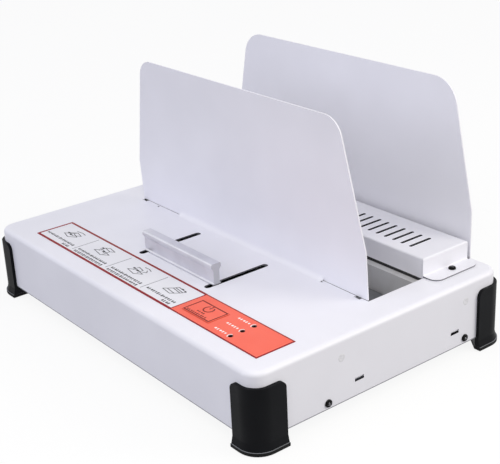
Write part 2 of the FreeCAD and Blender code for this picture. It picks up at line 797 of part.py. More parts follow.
def casing_plate(body):
    """The front plate, its bend and its free ends."""
    middle = size("work_x")
    left = middle - size("plate_half")
    right = middle + size("plate_half")
    half_top = size("plate_half_top")
    top = size("plate_top")
    foot = size("deck_height") + size("plate_gap")
    inner = size("bend_radius")
    outer = inner + size("sheet")
    bend = (bend_end(inner), bend_end(outer))
    crest = ((front_line(top), top), (rear_line(top), top))
    free = ((front_line(foot), foot), (rear_line(foot), foot))
    sketch = new_sketch(body, "XZ", size("bend_y"))
    deck = size("deck_height")
    low = (size("bend_left"), deck - size("sheet"))
    rectangle(sketch, low, (size("bend_right"), deck))
    axis_z = deck + inner
    ends = [(size("bend_left"), axis_z), (size("bend_right"), axis_z)]
    axis = sketch.addGeometry(Part.LineSegment(flat(ends[0]), flat(ends[1])), True)
    pin(sketch, axis, 1, ends[0])
    pin(sketch, axis, 2, ends[1])
    turn = body.newObject("PartDesign::Revolution", "bend")
    turn.Profile = sketch
    turn.ReferenceAxis = (sketch, ["Axis0"])
    put(turn, "Angle", QUARTER + size("plate_lean"))
    settle(body, turn)
    if turn.Shape.BoundBox.ZMax < number(axis_z):
        turn.Reversed = True
        settle(body, turn)
    plate_strip(body, left, right, bend, crest)
    plate_strip(body, left, size("bend_left"), free, bend)
    plate_strip(body, size("bend_right"), right, free, bend)
    for side in (-1, 1):
        taper = new_sketch(body, "XZ", 0.0)
        knee = size("plate_knee")
        edge = middle + side * size("plate_half")
        outside = edge + side * PAST
        start = middle + side * half_top
        corners = [(edge, knee), (outside, knee), (outside, top + PAST), (start, top + PAST), (start, top)]
        polygon(taper, corners)
        pocket_both(body, taper, size("body_depth"))

    def top_corner(edge):
        box = edge.BoundBox
        level = near(box.ZMin, top) and near(box.ZMax, top)
        return level and near(box.XMin, box.XMax) and near(abs(box.XMin - number(middle)), half_top)

    round_edges(body, size("plate_corner"), top_corner)


def casing_deck_holes(body):
    """Slots, panel holes and bend reliefs in the deck."""
    deck = size("deck_height")
    sketch = new_sketch(body, "XY", deck)
    for side in (-1, 1):
        middle = size("clamp_x") + side * size("slot_spacing") / 2
        obround(sketch, middle, size("slot_front"), size("slot_rear"), size("slot_width"))
    half = size("key_stem") / 2 + size("stem_gap")
    low = (size("key_x") - half, size("key_y") - half)
    rectangle(sketch, low, (size("key_x") + half, size("key_y") + half))
    well = size("lamp_well")
    for lamp in LAMPS:
        x, y = lamp_spot(lamp)
        clipped_slot(sketch, x, y - well / 2, y + well / 2, well)
    pocket(body, sketch, size("sheet") * 2)
    relief = new_sketch(body, "XY", deck)
    for across in (size("relief_left"), size("bend_right")):
        circle(relief, (across, size("relief_y")), size("relief_size"))
    pocket_both(body, relief, size("sheet") * 2)


def lamp_spot(lamp):
    return size("lamp_x"), size("lamp_%s_y" % lamp)


def casing_wall_holes(body):
    """Bridge lances in the side walls, and the cut-outs for inlet and switch in the rear wall."""
    half_x, half_y = casing_half()
    sheet = size("sheet")
    low = size("lance_low")
    bridge_low = low + size("lower_slit")
    bridge_high = bridge_low + size("bridge_tall")
    root = size("bridge_root")
    for side in (-1, 1):
        inner = side * (half_x - sheet)
        windows = new_sketch(body, "YZ", inner)
        bridges = new_sketch(body, "YZ", inner)
        for lance in ("lance_front", "lance_rear"):
            start = size(lance) - size("lance_long") / 2
            end = size(lance) + size("lance_long") / 2
            rectangle(windows, (start, low), (end, bridge_high + size("upper_slit")))
            rectangle(bridges, (start - root, bridge_low), (end + root, bridge_high))
        pocket_both(body, windows, sheet * 3)
        pad(body, bridges, sheet, back=side > 0)
    gap = size("case_gap")
    rear = new_sketch(body, "XZ", half_y)
    rectangle(rear, *around("inlet_x", size("inlet_wide") + gap * 2, size("inlet_tall") + gap * 2))
    rectangle(rear, *around("rocker_x", size("switch_wide") + gap * 2, size("switch_high") + gap * 2))
    pocket_both(body, rear, sheet * 3)


def around(across, wide, tall):
    """Low and high corners of a rectangle about the middle of the inlet or the switch."""
    x = size(across)
    z = size("socket_z")
    return (x - wide / 2, z - tall / 2), (x + wide / 2, z + tall / 2)


def make_casing():
    body = new_body("top_shell")
    casing_box(body)
    casing_opening(body)
    casing_plate(body)
    casing_deck_holes(body)
    casing_wall_holes(body)
    keep("top_shell", body)


def make_base():
    """The floor of the machine, with side flanges that the side screws hold."""
    body = new_body("base_plate")
    half_x, half_y = casing_half()
    sheet = size("sheet")
    bottom = size("casing_bottom")
    sketch = new_sketch(body, "XY", bottom)
    high = (half_x - sheet, half_y - sheet - size("base_gap"))
    rounded(sketch, (-high[0], -high[1]), high, [size("corner_radius")] * 4)
    pad(body, sketch, sheet)
    long = size("base_flange_half")
    for side in (-1, 1):
        flange = new_sketch(body, "YZ", side * (half_x - sheet))
        rectangle(flange, (-long, bottom), (long, size("base_flange")))
        pad(body, flange, sheet, back=side > 0)
    vent = new_sketch(body, "XY", bottom)
    clipped_slot(vent, size("element_left"), size("stand_front"), size("stand_rear"), size("vent_width"))
    row = pocket(body, vent, sheet * 2, forward=True)
    pattern_across(body, row, size("base_vents"), size("element_right") - size("element_left"))
    keep("base_plate", body)


def pattern_across(body, feature, count, length):
    """Repeat a cut along X."""
    before = body.Shape.Volume
    pattern = body.newObject("PartDesign::LinearPattern", body.Name + "_row")
    pattern.Originals = [feature]
    for axis in body.Origin.OriginFeatures:
        if axis.Role == "X_Axis":
            pattern.Direction = (axis, [""])
    put(pattern, "Length", length)
    pattern.Occurrences = int(number(count))
    pattern.setExpression("Occurrences", count.text)
    settle(body, pattern)
    if not body.Shape.Volume < before:
        raise RuntimeError("row cuts nothing in " + body.Name)


def corner_plan(sketch, side, end, inner, outer, radius):
    """A rectangle at one corner of the casing, rounded at its outer corner only."""
    xs = (inner[0], outer[0]) if side > 0 else (-outer[0], -inner[0])
    ys = (inner[1], outer[1]) if end > 0 else (-outer[1], -inner[1])
    corner = {(-1, -1): 0, (1, -1): 1, (1, 1): 2, (-1, 1): 3}[(side, end)]
    radii = [0.0] * 4
    radii[corner] = radius
    rounded(sketch, (xs[0], ys[0]), (xs[1], ys[1]), radii)


def foot_plan(sketch, side, end, grow):
    """Outline of a foot in plan, grown outward by an amount."""
    half_x, half_y = casing_half()
    inner = (half_x - size("foot_reach_x"), half_y - size("foot_reach_y"))
    reach = size("foot_proud") + grow
    corner_plan(sketch, side, end, inner, (half_x + reach, half_y + reach), size("foot_corner") + grow)


def cut_pad(body, side, end):
    """Cut the pad under the casing off along a slant, so that it shows little from the side."""
    half_x, half_y = casing_half()
    proud = size("foot_proud")
    start = (half_x - size("foot_reach_x"), half_y + proud - size("pad_end"))
    finish = (half_x + proud - size("pad_side"), half_y - size("foot_reach_y"))
    low = (start[0] - PAST, finish[1] - PAST)
    corners = [start, finish, (finish[0], low[1]), low, (low[0], start[1])]
    sketch = new_sketch(body, "XY", size("casing_bottom"))
    polygon(sketch, [(x * side, y * end) for x, y in corners])
    pocket(body, sketch, size("casing_bottom") + PAST)


def make_foot(name, side, end):
    """One moulded corner foot: a guard round the casing corner, a pad under it and a flared skirt."""
    body = new_body(name)
    half_x, half_y = casing_half()
    top = size("guard_top")
    guard = new_sketch(body, "XY", size("flare_top"))
    foot_plan(guard, side, end, 0.0)
    pad(body, guard, top - size("flare_top"))
    seat = new_sketch(body, "XY", size("casing_bottom"))
    inner = (half_x - size("foot_reach_x"), half_y - size("foot_reach_y"))
    cut = (inner[0] - PAST, inner[1] - PAST)
    corner_plan(seat, side, end, cut, (half_x, half_y), size("guard_inner"))
    pocket(body, seat, top, forward=True)
    ears = any_of(edge_at(x=side * inner[0], z=top), edge_at(y=end * inner[1], z=top))
    round_edges(body, size("guard_ear"), ears)
    upper = new_sketch(body, "XY", size("flare_top"))
    foot_plan(upper, side, end, 0.0)
    lower = new_sketch(body, "XY", size("sole_height"))
    foot_plan(lower, side, end, size("flare"))
    loft = body.newObject("PartDesign::AdditiveLoft", body.Name + "_flare")
    loft.Profile = upper
    loft.Sections = [lower]
    settle(body, loft)
    cut_pad(body, side, end)
    keep(name, body)


def make_soles():
    """Rubber soles under the four feet, bored for the foot screws."""
    soles = []
    half_x, half_y = casing_half()

    def outer_foot_edge(edge):
        box = edge.BoundBox
        past_side = max(-box.XMin, box.XMax) > number(half_x)
        past_end = max(-box.YMin, box.YMax) > number(half_y)
        return (past_side or past_end) and near(box.ZMin, 0.0) and near(box.ZMax, 0.0)

    for side in (-1, 1):
        for end in (-1, 1):
            body = new_body("sole")
            sketch = new_sketch(body, "XY", 0.0)
            foot_plan(sketch, side, end, size("flare") + size("sole_ledge"))
            spot = (side * size("foot_screw_x"), end * size("foot_screw_y"))
            circle(sketch, spot, size("foot_bore"))
            pad(body, sketch, size("sole_height"))
            cut_pad(body, side, end)
            bevel_edges(body, size("sole_bevel"), outer_foot_edge)
            soles.append(body)
    keep("foot_soles", group(soles))


def make_cover():
    """The raised vented cover behind the trough, with a flange at each end on the deck."""
    body = new_body("rear_cover")
    left = size("work_x") - size("cover_half")
    right = size("work_x") + size("cover_half")
    front = size("cover_front")
    rear = size("cover_rear")
    sheet = size("sheet")
    top = size("cover_top")
    deck = size("deck_height")
    skirt = size("cover_skirt")
    sketch = new_sketch(body, "XY", skirt)
    rectangle(sketch, (left, front), (right, rear))
    pad(body, sketch, top - skirt)
    round_edges(body, size("cover_edge"), level_edge(top))
    inner = new_sketch(body, "XY", skirt)
    rectangle(inner, (left + sheet, front + sheet), (right - sheet, rear - sheet))
    pocket(body, inner, top - skirt - sheet, forward=True)
    seams = new_sketch(body, "XZ", front)
    wide = size("seam_wide")
    for start in (left + sheet, right - sheet - wide):
        rectangle(seams, (start, skirt - PAST), (start + wide, size("seam_top")))
    pocket(body, seams, sheet)
    corner = size("flange_corner")
    reach = size("flange_half") - size("cover_half")
    for side in (-1, 1):
        flange = new_sketch(body, "XY", deck)
        low_x = right - sheet if side > 0 else left - reach
        high_x = right + reach if side > 0 else left + sheet
        radii = [0.0, corner, corner, 0.0] if side > 0 else [corner, 0.0, 0.0, corner]
        rounded(flange, (low_x, size("flange_front")), (high_x, size("flange_rear")), radii)
        pad(body, flange, sheet)
    root = any_of(edge_at(x=left, z=deck + sheet), edge_at(x=right, z=deck + sheet))
    round_edges(body, sheet, root)
    span = size("vent_pitch") * (size("vent_count") - 1)
    vent = new_sketch(body, "XY", top)
    first = size("work_x") - span / 2
    clipped_slot(vent, first, size("vent_front"), size("vent_rear"), size("vent_width"))
    pattern_across(body, pocket(body, vent, sheet * 2), size("vent_count"), span)
    keep("rear_cover", body)


def make_rear_plate():
    """The flat plate that stands inside the rear wall."""
    body = new_body("rear_plate")
    middle = size("work_x")
    top = size("rear_top")
    wall = size("body_depth") / 2 - size("sheet")
    sketch = new_sketch(body, "XZ", wall)
    outline = [(size("rear_half"), size("rear_foot")), (size("rear_half"), size("rear_knee"))]
    outline += [(size("rear_half_top"), top)]
    right = [(middle + across, height) for across, height in outline]
    left = [(middle - across, height) for across, height in reversed(outline)]
    polygon(sketch, right + left)
    pad(body, sketch, size("sheet"))

    def top_corner(edge):
        box = edge.BoundBox
        return near(box.ZMin, top) and near(box.ZMax, top) and near(box.XMin, box.XMax)

    round_edges(body, size("rear_corner"), top_corner)
    keep("rear_plate", body)


def key_corners(grow):
    """Low and high corners of the start key in plan, grown all round."""
    half_x = size("key_wide") / 2 + grow
    half_y = size("key_deep") / 2 + grow
    x = size("key_x")
    y = size("key_y")
    return (x - half_x, y - half_y), (x + half_x, y + half_y)


def make_panel():
    """The printed overlay, the start key with its stem, and the lamps sunk in their holes."""
    body = new_body("control_overlay")
    sketch = new_sketch(body, "XY", size("deck_height"))
    low = (size("label_left"), size("label_front"))
    rounded(sketch, low, (size("label_right"), size("label_rear")), [size("label_corner")] * 4)
    rectangle(sketch, *key_corners(size("key_gap")))
    for lamp in LAMPS:
        circle(sketch, lamp_spot(lamp), size("lamp_hole"))
    pad(body, sketch, size("label_thick"))
    keep("control_overlay", body)
    key = new_body("start_key")
    sketch = new_sketch(key, "XY", size("key_low"))
    rectangle(sketch, *key_corners(0.0))
    pad(key, sketch, size("key_top") - size("key_low"))
    bevel_edges(key, size("key_bevel"), level_edge(size("key_top")))
    stem = new_sketch(key, "XY", size("plunger_top"))
    half = size("key_stem") / 2
    low = (size("key_x") - half, size("key_y") - half)
    rectangle(stem, low, (size("key_x") + half, size("key_y") + half))
    pad(key, stem, size("key_low") - size("plunger_top"))
    keep("start_key", key)
    board = size("board_low") + size("board_thick")
    for lamp in LAMPS:
        start = lamp_spot(lamp) + (board,)
        keep("lamp_" + lamp, rod(start, UP, size("lamp_size"), size("lamp_top") - board))


def make_control_board():
    """The board under the panel with what it carries."""
    low = size("board_low")
    top = low + size("board_thick")
    corner = (size("board_left"), size("board_front"), low)
    keep("control_board", block(corner, (size("board_right"), size("board_rear"), top)))
    inset = size("board_inset")
    ceiling = size("deck_height") - size("sheet")
    posts = []
    for x in (size("board_left") + inset, size("board_right") - inset):
        for y in (size("board_front") + inset, size("board_rear") - inset):
            posts.append(hexagon((x, y, top), size("post_size"), ceiling - top))
    keep("board_posts", group(posts))
    side = size("switch_size") / 2
    x = size("key_x")
    y = size("key_y")
    gap = size("plunger_gap")
    case = block((x - side, y - side, top), (x + side, y + side, top + size("switch_tall")))
    well = top + size("switch_tall") / 2
    bore = rod((x, y, well), UP, size("plunger_size") + gap, size("switch_tall"))
    keep("key_switch", without(case, bore))
    reach = size("plunger_top") - well - gap
    keep("key_plunger", rod((x, y, well + gap), UP, size("plunger_size"), reach))
    tall = size("buzzer_tall")
    keep("buzzer", rod((size("buzzer_x"), y, low - tall), UP, size("buzzer_size"), tall))
    corner = (size("chip_left"), size("chip_front"), low - size("chip_tall"))
    keep("controller", block_of(corner, (size("chip_side"), size("chip_side"), size("chip_tall"))))


def hexagon(start, across, length):
    """A hexagonal spacer standing on a spot."""
    thing = DOCUMENT.addObject("Part::Prism", "hexagon")
    thing.Polygon = 6
    put(thing, "Circumradius", across / 2)
    put(thing, "Height", length)
    place(thing, start)
    return thing


def make_handle():
    """The extruded handle bar and the shouldered studs that join it to the slide plate through the deck."""
    body = new_body("handle")
    middle = size("handle_y")
    web = size("handle_web") / 2
    head = size("handle_head") / 2
    bevel = size("handle_bevel")
    top = size("handle_top")
    neck = size("handle_neck")
    foot = size("handle_foot")
    sketch = new_sketch(body, "YZ", size("clamp_x") - size("handle_length") / 2)
    lip = web + size("lip_out")
    half = [(lip, foot), (lip, foot + size("handle_lip")), (web, foot + size("lip_rise")), (web, neck)]
    half += [(head, size("handle_shoulder"))]
    half += [(head, top - bevel), (head - bevel, top)]
    right = [(middle + out, height) for out, height in half]
    left = [(middle - out, height) for out, height in reversed(half)]
    polygon(sketch, right + left)
    pad(body, sketch, size("handle_length"))
    hollows = any_of(edge_at(y=middle - web, z=neck), edge_at(y=middle + web, z=neck))
    round_edges(body, size("handle_fillet"), hollows)
    holes = new_sketch(body, "XY", foot)
    seat = size("slide_low") + size("slide_sheet")
    reach = size("slot_spacing") / 2 - size("stud_shift")
    studs = []
    for side in (-1, 1):
        x = size("clamp_x") + side * reach
        circle(holes, (x, middle), size("stud_bore"))
        shoulder = hexagon((x, middle, seat), size("stud_shoulder"), foot - seat)
        upper = rod((x, middle, foot), UP, size("stud_pin"), size("stud_reach"))
        studs.append(joined([shoulder, upper]))
    pocket(body, holes, size("stud_reach") + size("bore_spare"), forward=True)
    keep("handle", body)
    keep("handle_studs", group(studs))


def make_slide():
    """The slide plate under the deck with its bushes, and the jaw fixed to its rear end."""
    body = new_body("clamp_slide")
    x = size("clamp_x")
    half = size("slide_half")
    low = size("slide_low")
    clip = size("slide_clip")
    front = size("slide_front")
    rear = size("slide_rear")
    sketch = new_sketch(body, "XY", low)
    outline = [(x - half + clip, front), (x + half - clip, front), (x + half, front + clip)]
    outline += [(x + half, rear), (x - half, rear), (x - half, front + clip)]
    polygon(sketch, outline)
    window = size("window_half")
    rectangle(sketch, (x - window, size("window_front")), (x + window, size("window_rear")))
    pad(body, sketch, size("slide_sheet"))
    keep("clamp_slide", body)
    bushes = []
    start = size("bush_front")
    long = size("bush_long")
    wide = size("bush_wide") / 2
    for side in (-1, 1):
        middle = x + side * size("rod_spacing") / 2
        case = block((middle - wide, start, size("bush_low")), (middle + wide, start + long, low))
        spot = (middle, start - PAST, size("rod_z"))
        bushes.append(without(case, rod(spot, BACK, size("bush_bore"), long + PAST * 2)))
    keep("slide_bushes", group(bushes))
    jaw = new_body("clamp_jaw")
    seat = low + size("slide_sheet")
    crest = seat + size("ledge_thick")
    leg = new_sketch(jaw, "YZ", size("work_x") - size("jaw_half"))
    rectangle(leg, (rear, size("jaw_low")), (rear + size("jaw_thick"), crest))
    pad(jaw, leg, size("jaw_half") * 2)
    over = half + size("ledge_over")
    ledge = new_sketch(jaw, "YZ", x - over)
    rectangle(ledge, (size("ledge_front"), seat), (rear, crest))
    pad(jaw, ledge, over * 2)
    keep("clamp_jaw", jaw)


def make_rods():
    """Guide rods for the slide, and the brackets that hang them under the deck."""
    x = size("clamp_x")
    ceiling = size("deck_height") - size("sheet")
    thick = size("bracket_sheet")
    low = size("bracket_low")
    first = size("bracket_front_y") + thick
    last = size("bracket_rear_y")
    rods = []
    for side in (-1, 1):
        start = (x + side * size("rod_spacing") / 2, first, size("rod_z"))
        rods.append(rod(start, BACK, size("rod_size"), last - first))
    keep("guide_rods", group(rods))
    front = new_body("rod_bracket_front")
    half = size("rod_spacing") / 2 + size("bracket_margin")
    sketch = new_sketch(front, "XZ", first)
    rectangle(sketch, (x - half, low), (x + half, ceiling))
    pad(front, sketch, thick)
    flange = new_sketch(front, "XY", ceiling)
    rectangle(flange, (x - half, first), (x + half, first + size("bracket_flange")))
    pad(front, flange, thick, back=True)
    keep("rod_bracket_front", front)
    rear = new_body("rod_bracket_rear")
    wide = size("bridge_half")
    gap = size("bridge_notch")
    bridge = size("bridge_top")
    sketch = new_sketch(rear, "XZ", last + thick)
    outline = [(x - wide, low), (x + wide, low), (x + wide, ceiling), (x + gap, ceiling)]
    outline += [(x + gap, bridge), (x - gap, bridge), (x - gap, ceiling), (x - wide, ceiling)]
    polygon(sketch, outline)
    pad(rear, sketch, thick)
    for start in (x - wide, x + gap):
        flange = new_sketch(rear, "XY", ceiling)
        rectangle(flange, (start, last - size("bracket_flange")), (start + wide - gap, last))
        pad(rear, flange, thick, back=True)
    keep("rod_bracket_rear", rear)


def make_heater():
    """Heating plate with the strip, clamp plate and insulation under it, and its sensors."""
    work = size("work_x")
    half = size("heat_half")
    low = size("heat_low")
    plate = new_body("heating_plate")
    sketch = new_sketch(plate, "XY", low)
    rectangle(sketch, (work - half, size("heat_front")), (work + half, size("heat_rear")))
    pad(plate, sketch, size("heat_top") - low)
    bevel_edges(plate, size("heat_bevel"), level_edge(size("heat_top")))
    keep("heating_plate", plate)
    left = size("element_left")
    right = size("element_right")
    front = size("element_front")
    rear = size("element_rear")
    strip_low = low - size("element_thick")
    keep("heater_element", block((left, front, strip_low), (right, rear, low)))
    margin = size("clamp_margin")
    clamp_low = strip_low - size("clamp_plate")
    corner = (left - margin, front - margin, clamp_low)
    keep("heater_clamp", block(corner, (right + margin, rear + margin, strip_low)))
    wool_low = clamp_low - size("wool_thick")
    corner = (left - margin, front - margin * 2, wool_low)
    keep("heater_insulation", block(corner, (right + margin, rear + margin * 2, clamp_low)))
    make_thermostat((front + rear) / 2, low)
    x = size("sensor_x")
    middle = (front + rear) / 2
    corner = (x - size("sensor_wide") / 2, middle - size("sensor_deep") / 2, low - size("sensor_tall"))
    bead = block_of(corner, (size("sensor_wide"), size("sensor_deep"), size("sensor_tall")))
    start = (x, corner[1] - size("lead_long") + PAST, low - size("sensor_tall") / 2)
    lead = rod(start, BACK, size("lead_size"), size("lead_long"))
    keep("temperature_sensor", joined([bead, lead]))


def make_thermostat(middle, ceiling):
    """A snap-action can with a fixing strap and two blade tabs, under the heating plate."""
    x = size("thermostat_x")
    low = ceiling - size("thermostat_tall")
    can = rod((x, middle, low), UP, size("thermostat_size"), size("thermostat_tall"))
    corner = (x - size("ear_wide") / 2, middle - size("ear_deep") / 2, ceiling - size("ear_thick"))
    pieces = [can, block_of(corner, (size("ear_wide"), size("ear_deep"), size("ear_thick")))]
    for side in (-1, 1):
        tab_x = x + side * size("tab_pitch") / 2 - size("tab_thick") / 2
        corner = (tab_x, middle - size("tab_wide") / 2, low - size("tab_long") + PAST)
        pieces.append(block_of(corner, (size("tab_thick"), size("tab_wide"), size("tab_long"))))
    keep("thermostat", joined(pieces))


def make_trough():
    """Brackets with ceramic spacers that carry the heating plate, and the liner round it."""
    work = size("work_x")
    sheet = size("sheet")
    outer = size("stand_outer")
    floor = size("casing_bottom") + sheet
    top = size("stand_top")
    shelf = size("stand_shelf")
    foot = size("stand_foot")
    section = [(foot, floor), (outer, floor), (outer, top), (shelf, top), (shelf, top - sheet)]
    section += [(outer - sheet, top - sheet), (outer - sheet, floor + sheet), (foot, floor + sheet)]
    for name, side in (("trough_bracket_left", -1), ("trough_bracket_right", 1)):
        body = new_body(name)
        sketch = new_sketch(body, "XZ", size("stand_rear"))
        polygon(sketch, [(work + side * across, height) for across, height in section])
        pad(body, sketch, size("stand_rear") - size("stand_front"))
        keep(name, body)
    spacers = []
    inset = size("spacer_inset")
    for side in (-1, 1):
        for y in (size("heat_front") + inset, size("heat_rear") - inset):
            spot = (work + side * size("spacer_x"), y, top)
            spacers.append(hexagon(spot, size("spacer_size"), size("heat_low") - top))
    keep("heater_spacers", group(spacers))
    liner = new_body("trough_liner")
    fence = size("liner_rear")
    crest = size("liner_top")
    walls = new_sketch(liner, "XY", size("liner_low"))
    liner_plan(walls, outer + sheet, fence + sheet)
    pad(liner, walls, crest - size("liner_low"))
    rim = new_sketch(liner, "XY", crest)
    liner_plan(rim, size("liner_wing"), size("cover_front"))
    pad(liner, rim, sheet, back=True)
    keep("trough_liner", liner)


def liner_plan(sketch, reach, back):
    """Plan of the liner: open in front, with its walls out to a half width and a rear line."""
    work = size("work_x")
    inner = size("stand_outer")
    front = size("liner_front")
    fence = size("liner_rear")
    right = [(inner, fence), (inner, front), (reach, front), (reach, back)]
    corners = [(work + across, y) for across, y in right]
    corners += [(work - across, y) for across, y in reversed(right)]
    polygon(sketch, corners)


def make_power_board():
    """The supply board at the back with what it carries."""
    left = size("power_left")
    right = size("power_right")
    front = size("power_front")
    rear = size("power_rear")
    low = size("power_low")
    top = low + size("board_thick")
    floor = size("casing_bottom") + size("sheet")
    inset = size("board_inset")
    posts = []
    for x in (left + inset, right - inset):
        for y in (front + inset, rear - inset):
            posts.append(hexagon((x, y, floor), size("post_size"), low - floor))
    keep("power_board", block((left, front, low), (right, rear, top)))
    keep("power_posts", group(posts))
    core_low = (size("core_left"), size("core_front"), top)
    extent = (size("core_wide"), size("core_deep"), size("core_tall"))
    over = size("coil_over")
    coil_low = (core_low[0] + size("coil_inset"), core_low[1] - over, top + over)
    coil = (extent[0] - size("coil_inset") * 2, extent[1] + over * 2, extent[2] - over * 2)
    keep("transformer", joined([block_of(core_low, extent), block_of(coil_low, coil)]))
    corner = (size("relay_left"), size("relay_front"), top)
    keep("relay", block_of(corner, (size("relay_wide"), size("relay_deep"), size("relay_tall"))))
    pitch = size("well_pitch")
    corner = (size("strip_left"), size("strip_front"), top)
    strip = block_of(corner, (pitch * size("well_count"), size("strip_deep"), size("strip_tall")))
    wells = []
    hole = (size("well_wide"), size("well_deep"), size("well_down") + PAST)
    for step in range(int(number(size("well_count")))):
        x = corner[0] + pitch * step + (pitch - hole[0]) / 2
        y = corner[1] + (size("strip_deep") - hole[1]) / 2
        wells.append(block_of((x, y, top + size("strip_tall") - size("well_down")), hole))
    keep("terminal_block", without(strip, group(wells)))
    corner = (size("film_left"), size("film_front"), top)
    keep("capacitor", block_of(corner, (size("film_wide"), size("film_deep"), size("film_tall"))))


def make_ribbon():
    """The ribbon from the control board down to the base plate and back to the power board."""
    x = size("ribbon_x")
    thick = size("ribbon_thick")
    front = size("power_front") + size("header_in")
    top = size("power_low") + size("board_thick")
    extent = (size("header_wide"), size("header_deep"), size("header_tall"))
    left = x - (size("header_wide") - size("ribbon_wide")) / 2
    ceiling = size("board_low") - size("header_tall")
    panel = size("header_y")
    upper = block_of((left, panel - (size("header_deep") + thick) / 2, ceiling), extent)
    lower = block_of((left, front, top), extent)
    keep("ribbon_headers", group([upper, lower]))
    body = new_body("panel_ribbon")
    sketch = new_sketch(body, "YZ", x)
    run = size("casing_bottom") + size("sheet") + size("ribbon_lift")
    rise = size("ribbon_rise")
    crest = top + size("ribbon_crest")
    over = [(panel, ceiling), (panel, run + thick), (rise - thick, run + thick)]
    over += [(rise - thick, crest), (front, crest)]
    under = [(front, crest - thick), (rise, crest - thick), (rise, run)]
    under += [(panel - thick, run), (panel - thick, ceiling)]
    polygon(sketch, over + under)
    pad(body, sketch, size("ribbon_wide"))
    keep("panel_ribbon", body)


def make_inlet():
    """A three-pin appliance inlet in the rear wall."""
    wall = size("body_depth") / 2
    x = size("inlet_x")
    z = size("socket_z")
    body = new_body("power_inlet")
    thick = size("ears_thick")
    flange = new_sketch(body, "XZ", wall + thick)
    low, high = around("inlet_x", size("ears_wide"), size("ears_tall"))
    rounded(flange, low, high, [size("ears_corner")] * 4)
    pad(body, flange, thick)
    case = new_sketch(body, "XZ", wall)
    rectangle(case, *around("inlet_x", size("inlet_wide"), size("inlet_tall")))
    pad(body, case, size("inlet_deep"))
    socket = new_sketch(body, "XZ", wall + thick)
    low, high = around("inlet_x", size("socket_wide"), size("socket_tall"))
    clip = size("socket_clip")
    outline = [low, (high[0], low[1]), (high[0], high[1] - clip), (high[0] - clip, high[1])]
    outline += [(low[0] + clip, high[1]), (low[0], high[1] - clip)]
    polygon(socket, outline)
    pocket(body, socket, size("socket_deep"), forward=True)
    floor = wall + thick - size("socket_deep")
    pins = new_sketch(body, "XZ", floor)
    pitch = size("pin_pitch")
    wide = size("pin_wide") / 2
    tall = size("pin_tall") / 2
    outer_z = z - size("pin_drop")
    for pin_x, pin_z in ((x - pitch, outer_z), (x, z + size("earth_rise")), (x + pitch, outer_z)):
        rectangle(pins, (pin_x - wide, pin_z - tall), (pin_x + wide, pin_z + tall))
    pad(body, pins, size("pin_long"), back=True)
    tabs = new_sketch(body, "XZ", wall - size("inlet_deep"))
    half = size("tab_wide") / 2
    for tab_x in (x - pitch, x, x + pitch):
        rectangle(tabs, (tab_x - half, outer_z), (tab_x + half, outer_z + size("tab_thick")))
    pad(body, tabs, size("tab_long"))
    keep("power_inlet", body)


def make_rocker():
    """The mains rocker switch: a snap-in housing and a rocker on its own trunnions."""
    wall = size("body_depth") / 2
    x = size("rocker_x")
    z = size("socket_z")
    pivot = wall - size("pivot_in")
    body = new_body("switch_housing")
    bezel = new_sketch(body, "XZ", wall + size("bezel_thick"))
    rectangle(bezel, *around("rocker_x", size("bezel_wide"), size("bezel_tall")))
    pad(body, bezel, size("bezel_thick"))
    case = new_sketch(body, "XZ", wall)
    rectangle(case, *around("rocker_x", size("switch_wide"), size("switch_high")))
    pad(body, case, size("switch_deep"))
    throat = new_sketch(body, "XZ", wall + size("bezel_thick"))
    rectangle(throat, *around("rocker_x", size("throat_wide"), size("throat_tall")))
    pocket(body, throat, size("throat_deep"), forward=True)
    seats = new_sketch(body, "XY", z)
    circle(seats, (x, pivot), size("trunnion_size") + size("trunnion_gap"))
    pocket_both(body, seats, size("trunnion_long") + size("trunnion_spare"))
    keep("switch_housing", body)
    rocker = new_body("switch_rocker")
    half = size("rocker_wide") / 2
    tall = size("rocker_tall")
    tip = size("rocker_tip")
    sketch = new_sketch(rocker, "XY", tall / -2)
    profile = [(-half, -size("rocker_back")), (half, -size("rocker_back")), (half, tip)]
    profile += [(0.0, size("rocker_valley")), (-half, tip)]
    polygon(sketch, profile)
    pad(rocker, sketch, tall)
    trunnion = new_sketch(rocker, "XY", size("trunnion_long") / -2)
    circle(trunnion, (0.0, 0.0), size("trunnion_size"))
    pad(rocker, trunnion, size("trunnion_long"))
    turned = FreeCAD.Rotation(VECTOR(*UP), -number(size("rocker_tilt")))
    rocker.Placement = FreeCAD.Placement(VECTOR(), turned)
    place(rocker, (x, pivot, z))
    keep("switch_rocker", rocker)


def write_parts():
    """Check every object and piece, then write one file for each piece."""
    DOCUMENT.recompute()
    for thing in DOCUMENT.Objects:
        if "Invalid" in thing.State or "Error" in thing.State:
            raise RuntimeError("%s is %s" % (thing.Name, thing.State))
    os.makedirs("parts", exist_ok=True)
    for name, thing in NODES:
        shape = thing.Shape
        if shape.isNull() or not shape.isValid() or shape.Volume <= 0:
            raise RuntimeError("bad shape for " + name)
        shape.exportStep("parts/%s.step" % name)


fill_sheet()
make_casing()
make_base()
make_foot("foot_front_left", -1, -1)
make_foot("foot_front_right", 1, -1)
make_foot("foot_rear_left", -1, 1)
make_foot("foot_rear_right", 1, 1)
make_soles()
make_cover()
make_rear_plate()
make_panel()
make_control_board()
make_handle()
make_slide()
make_rods()
make_heater()
make_trough()
make_power_board()
make_ribbon()
make_inlet()
make_rocker()
write_parts()
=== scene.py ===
"""Looks of a desktop hot-melt binding machine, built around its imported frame."""

import math

import bmesh
import bpy
from mathutils import Matrix, Vector


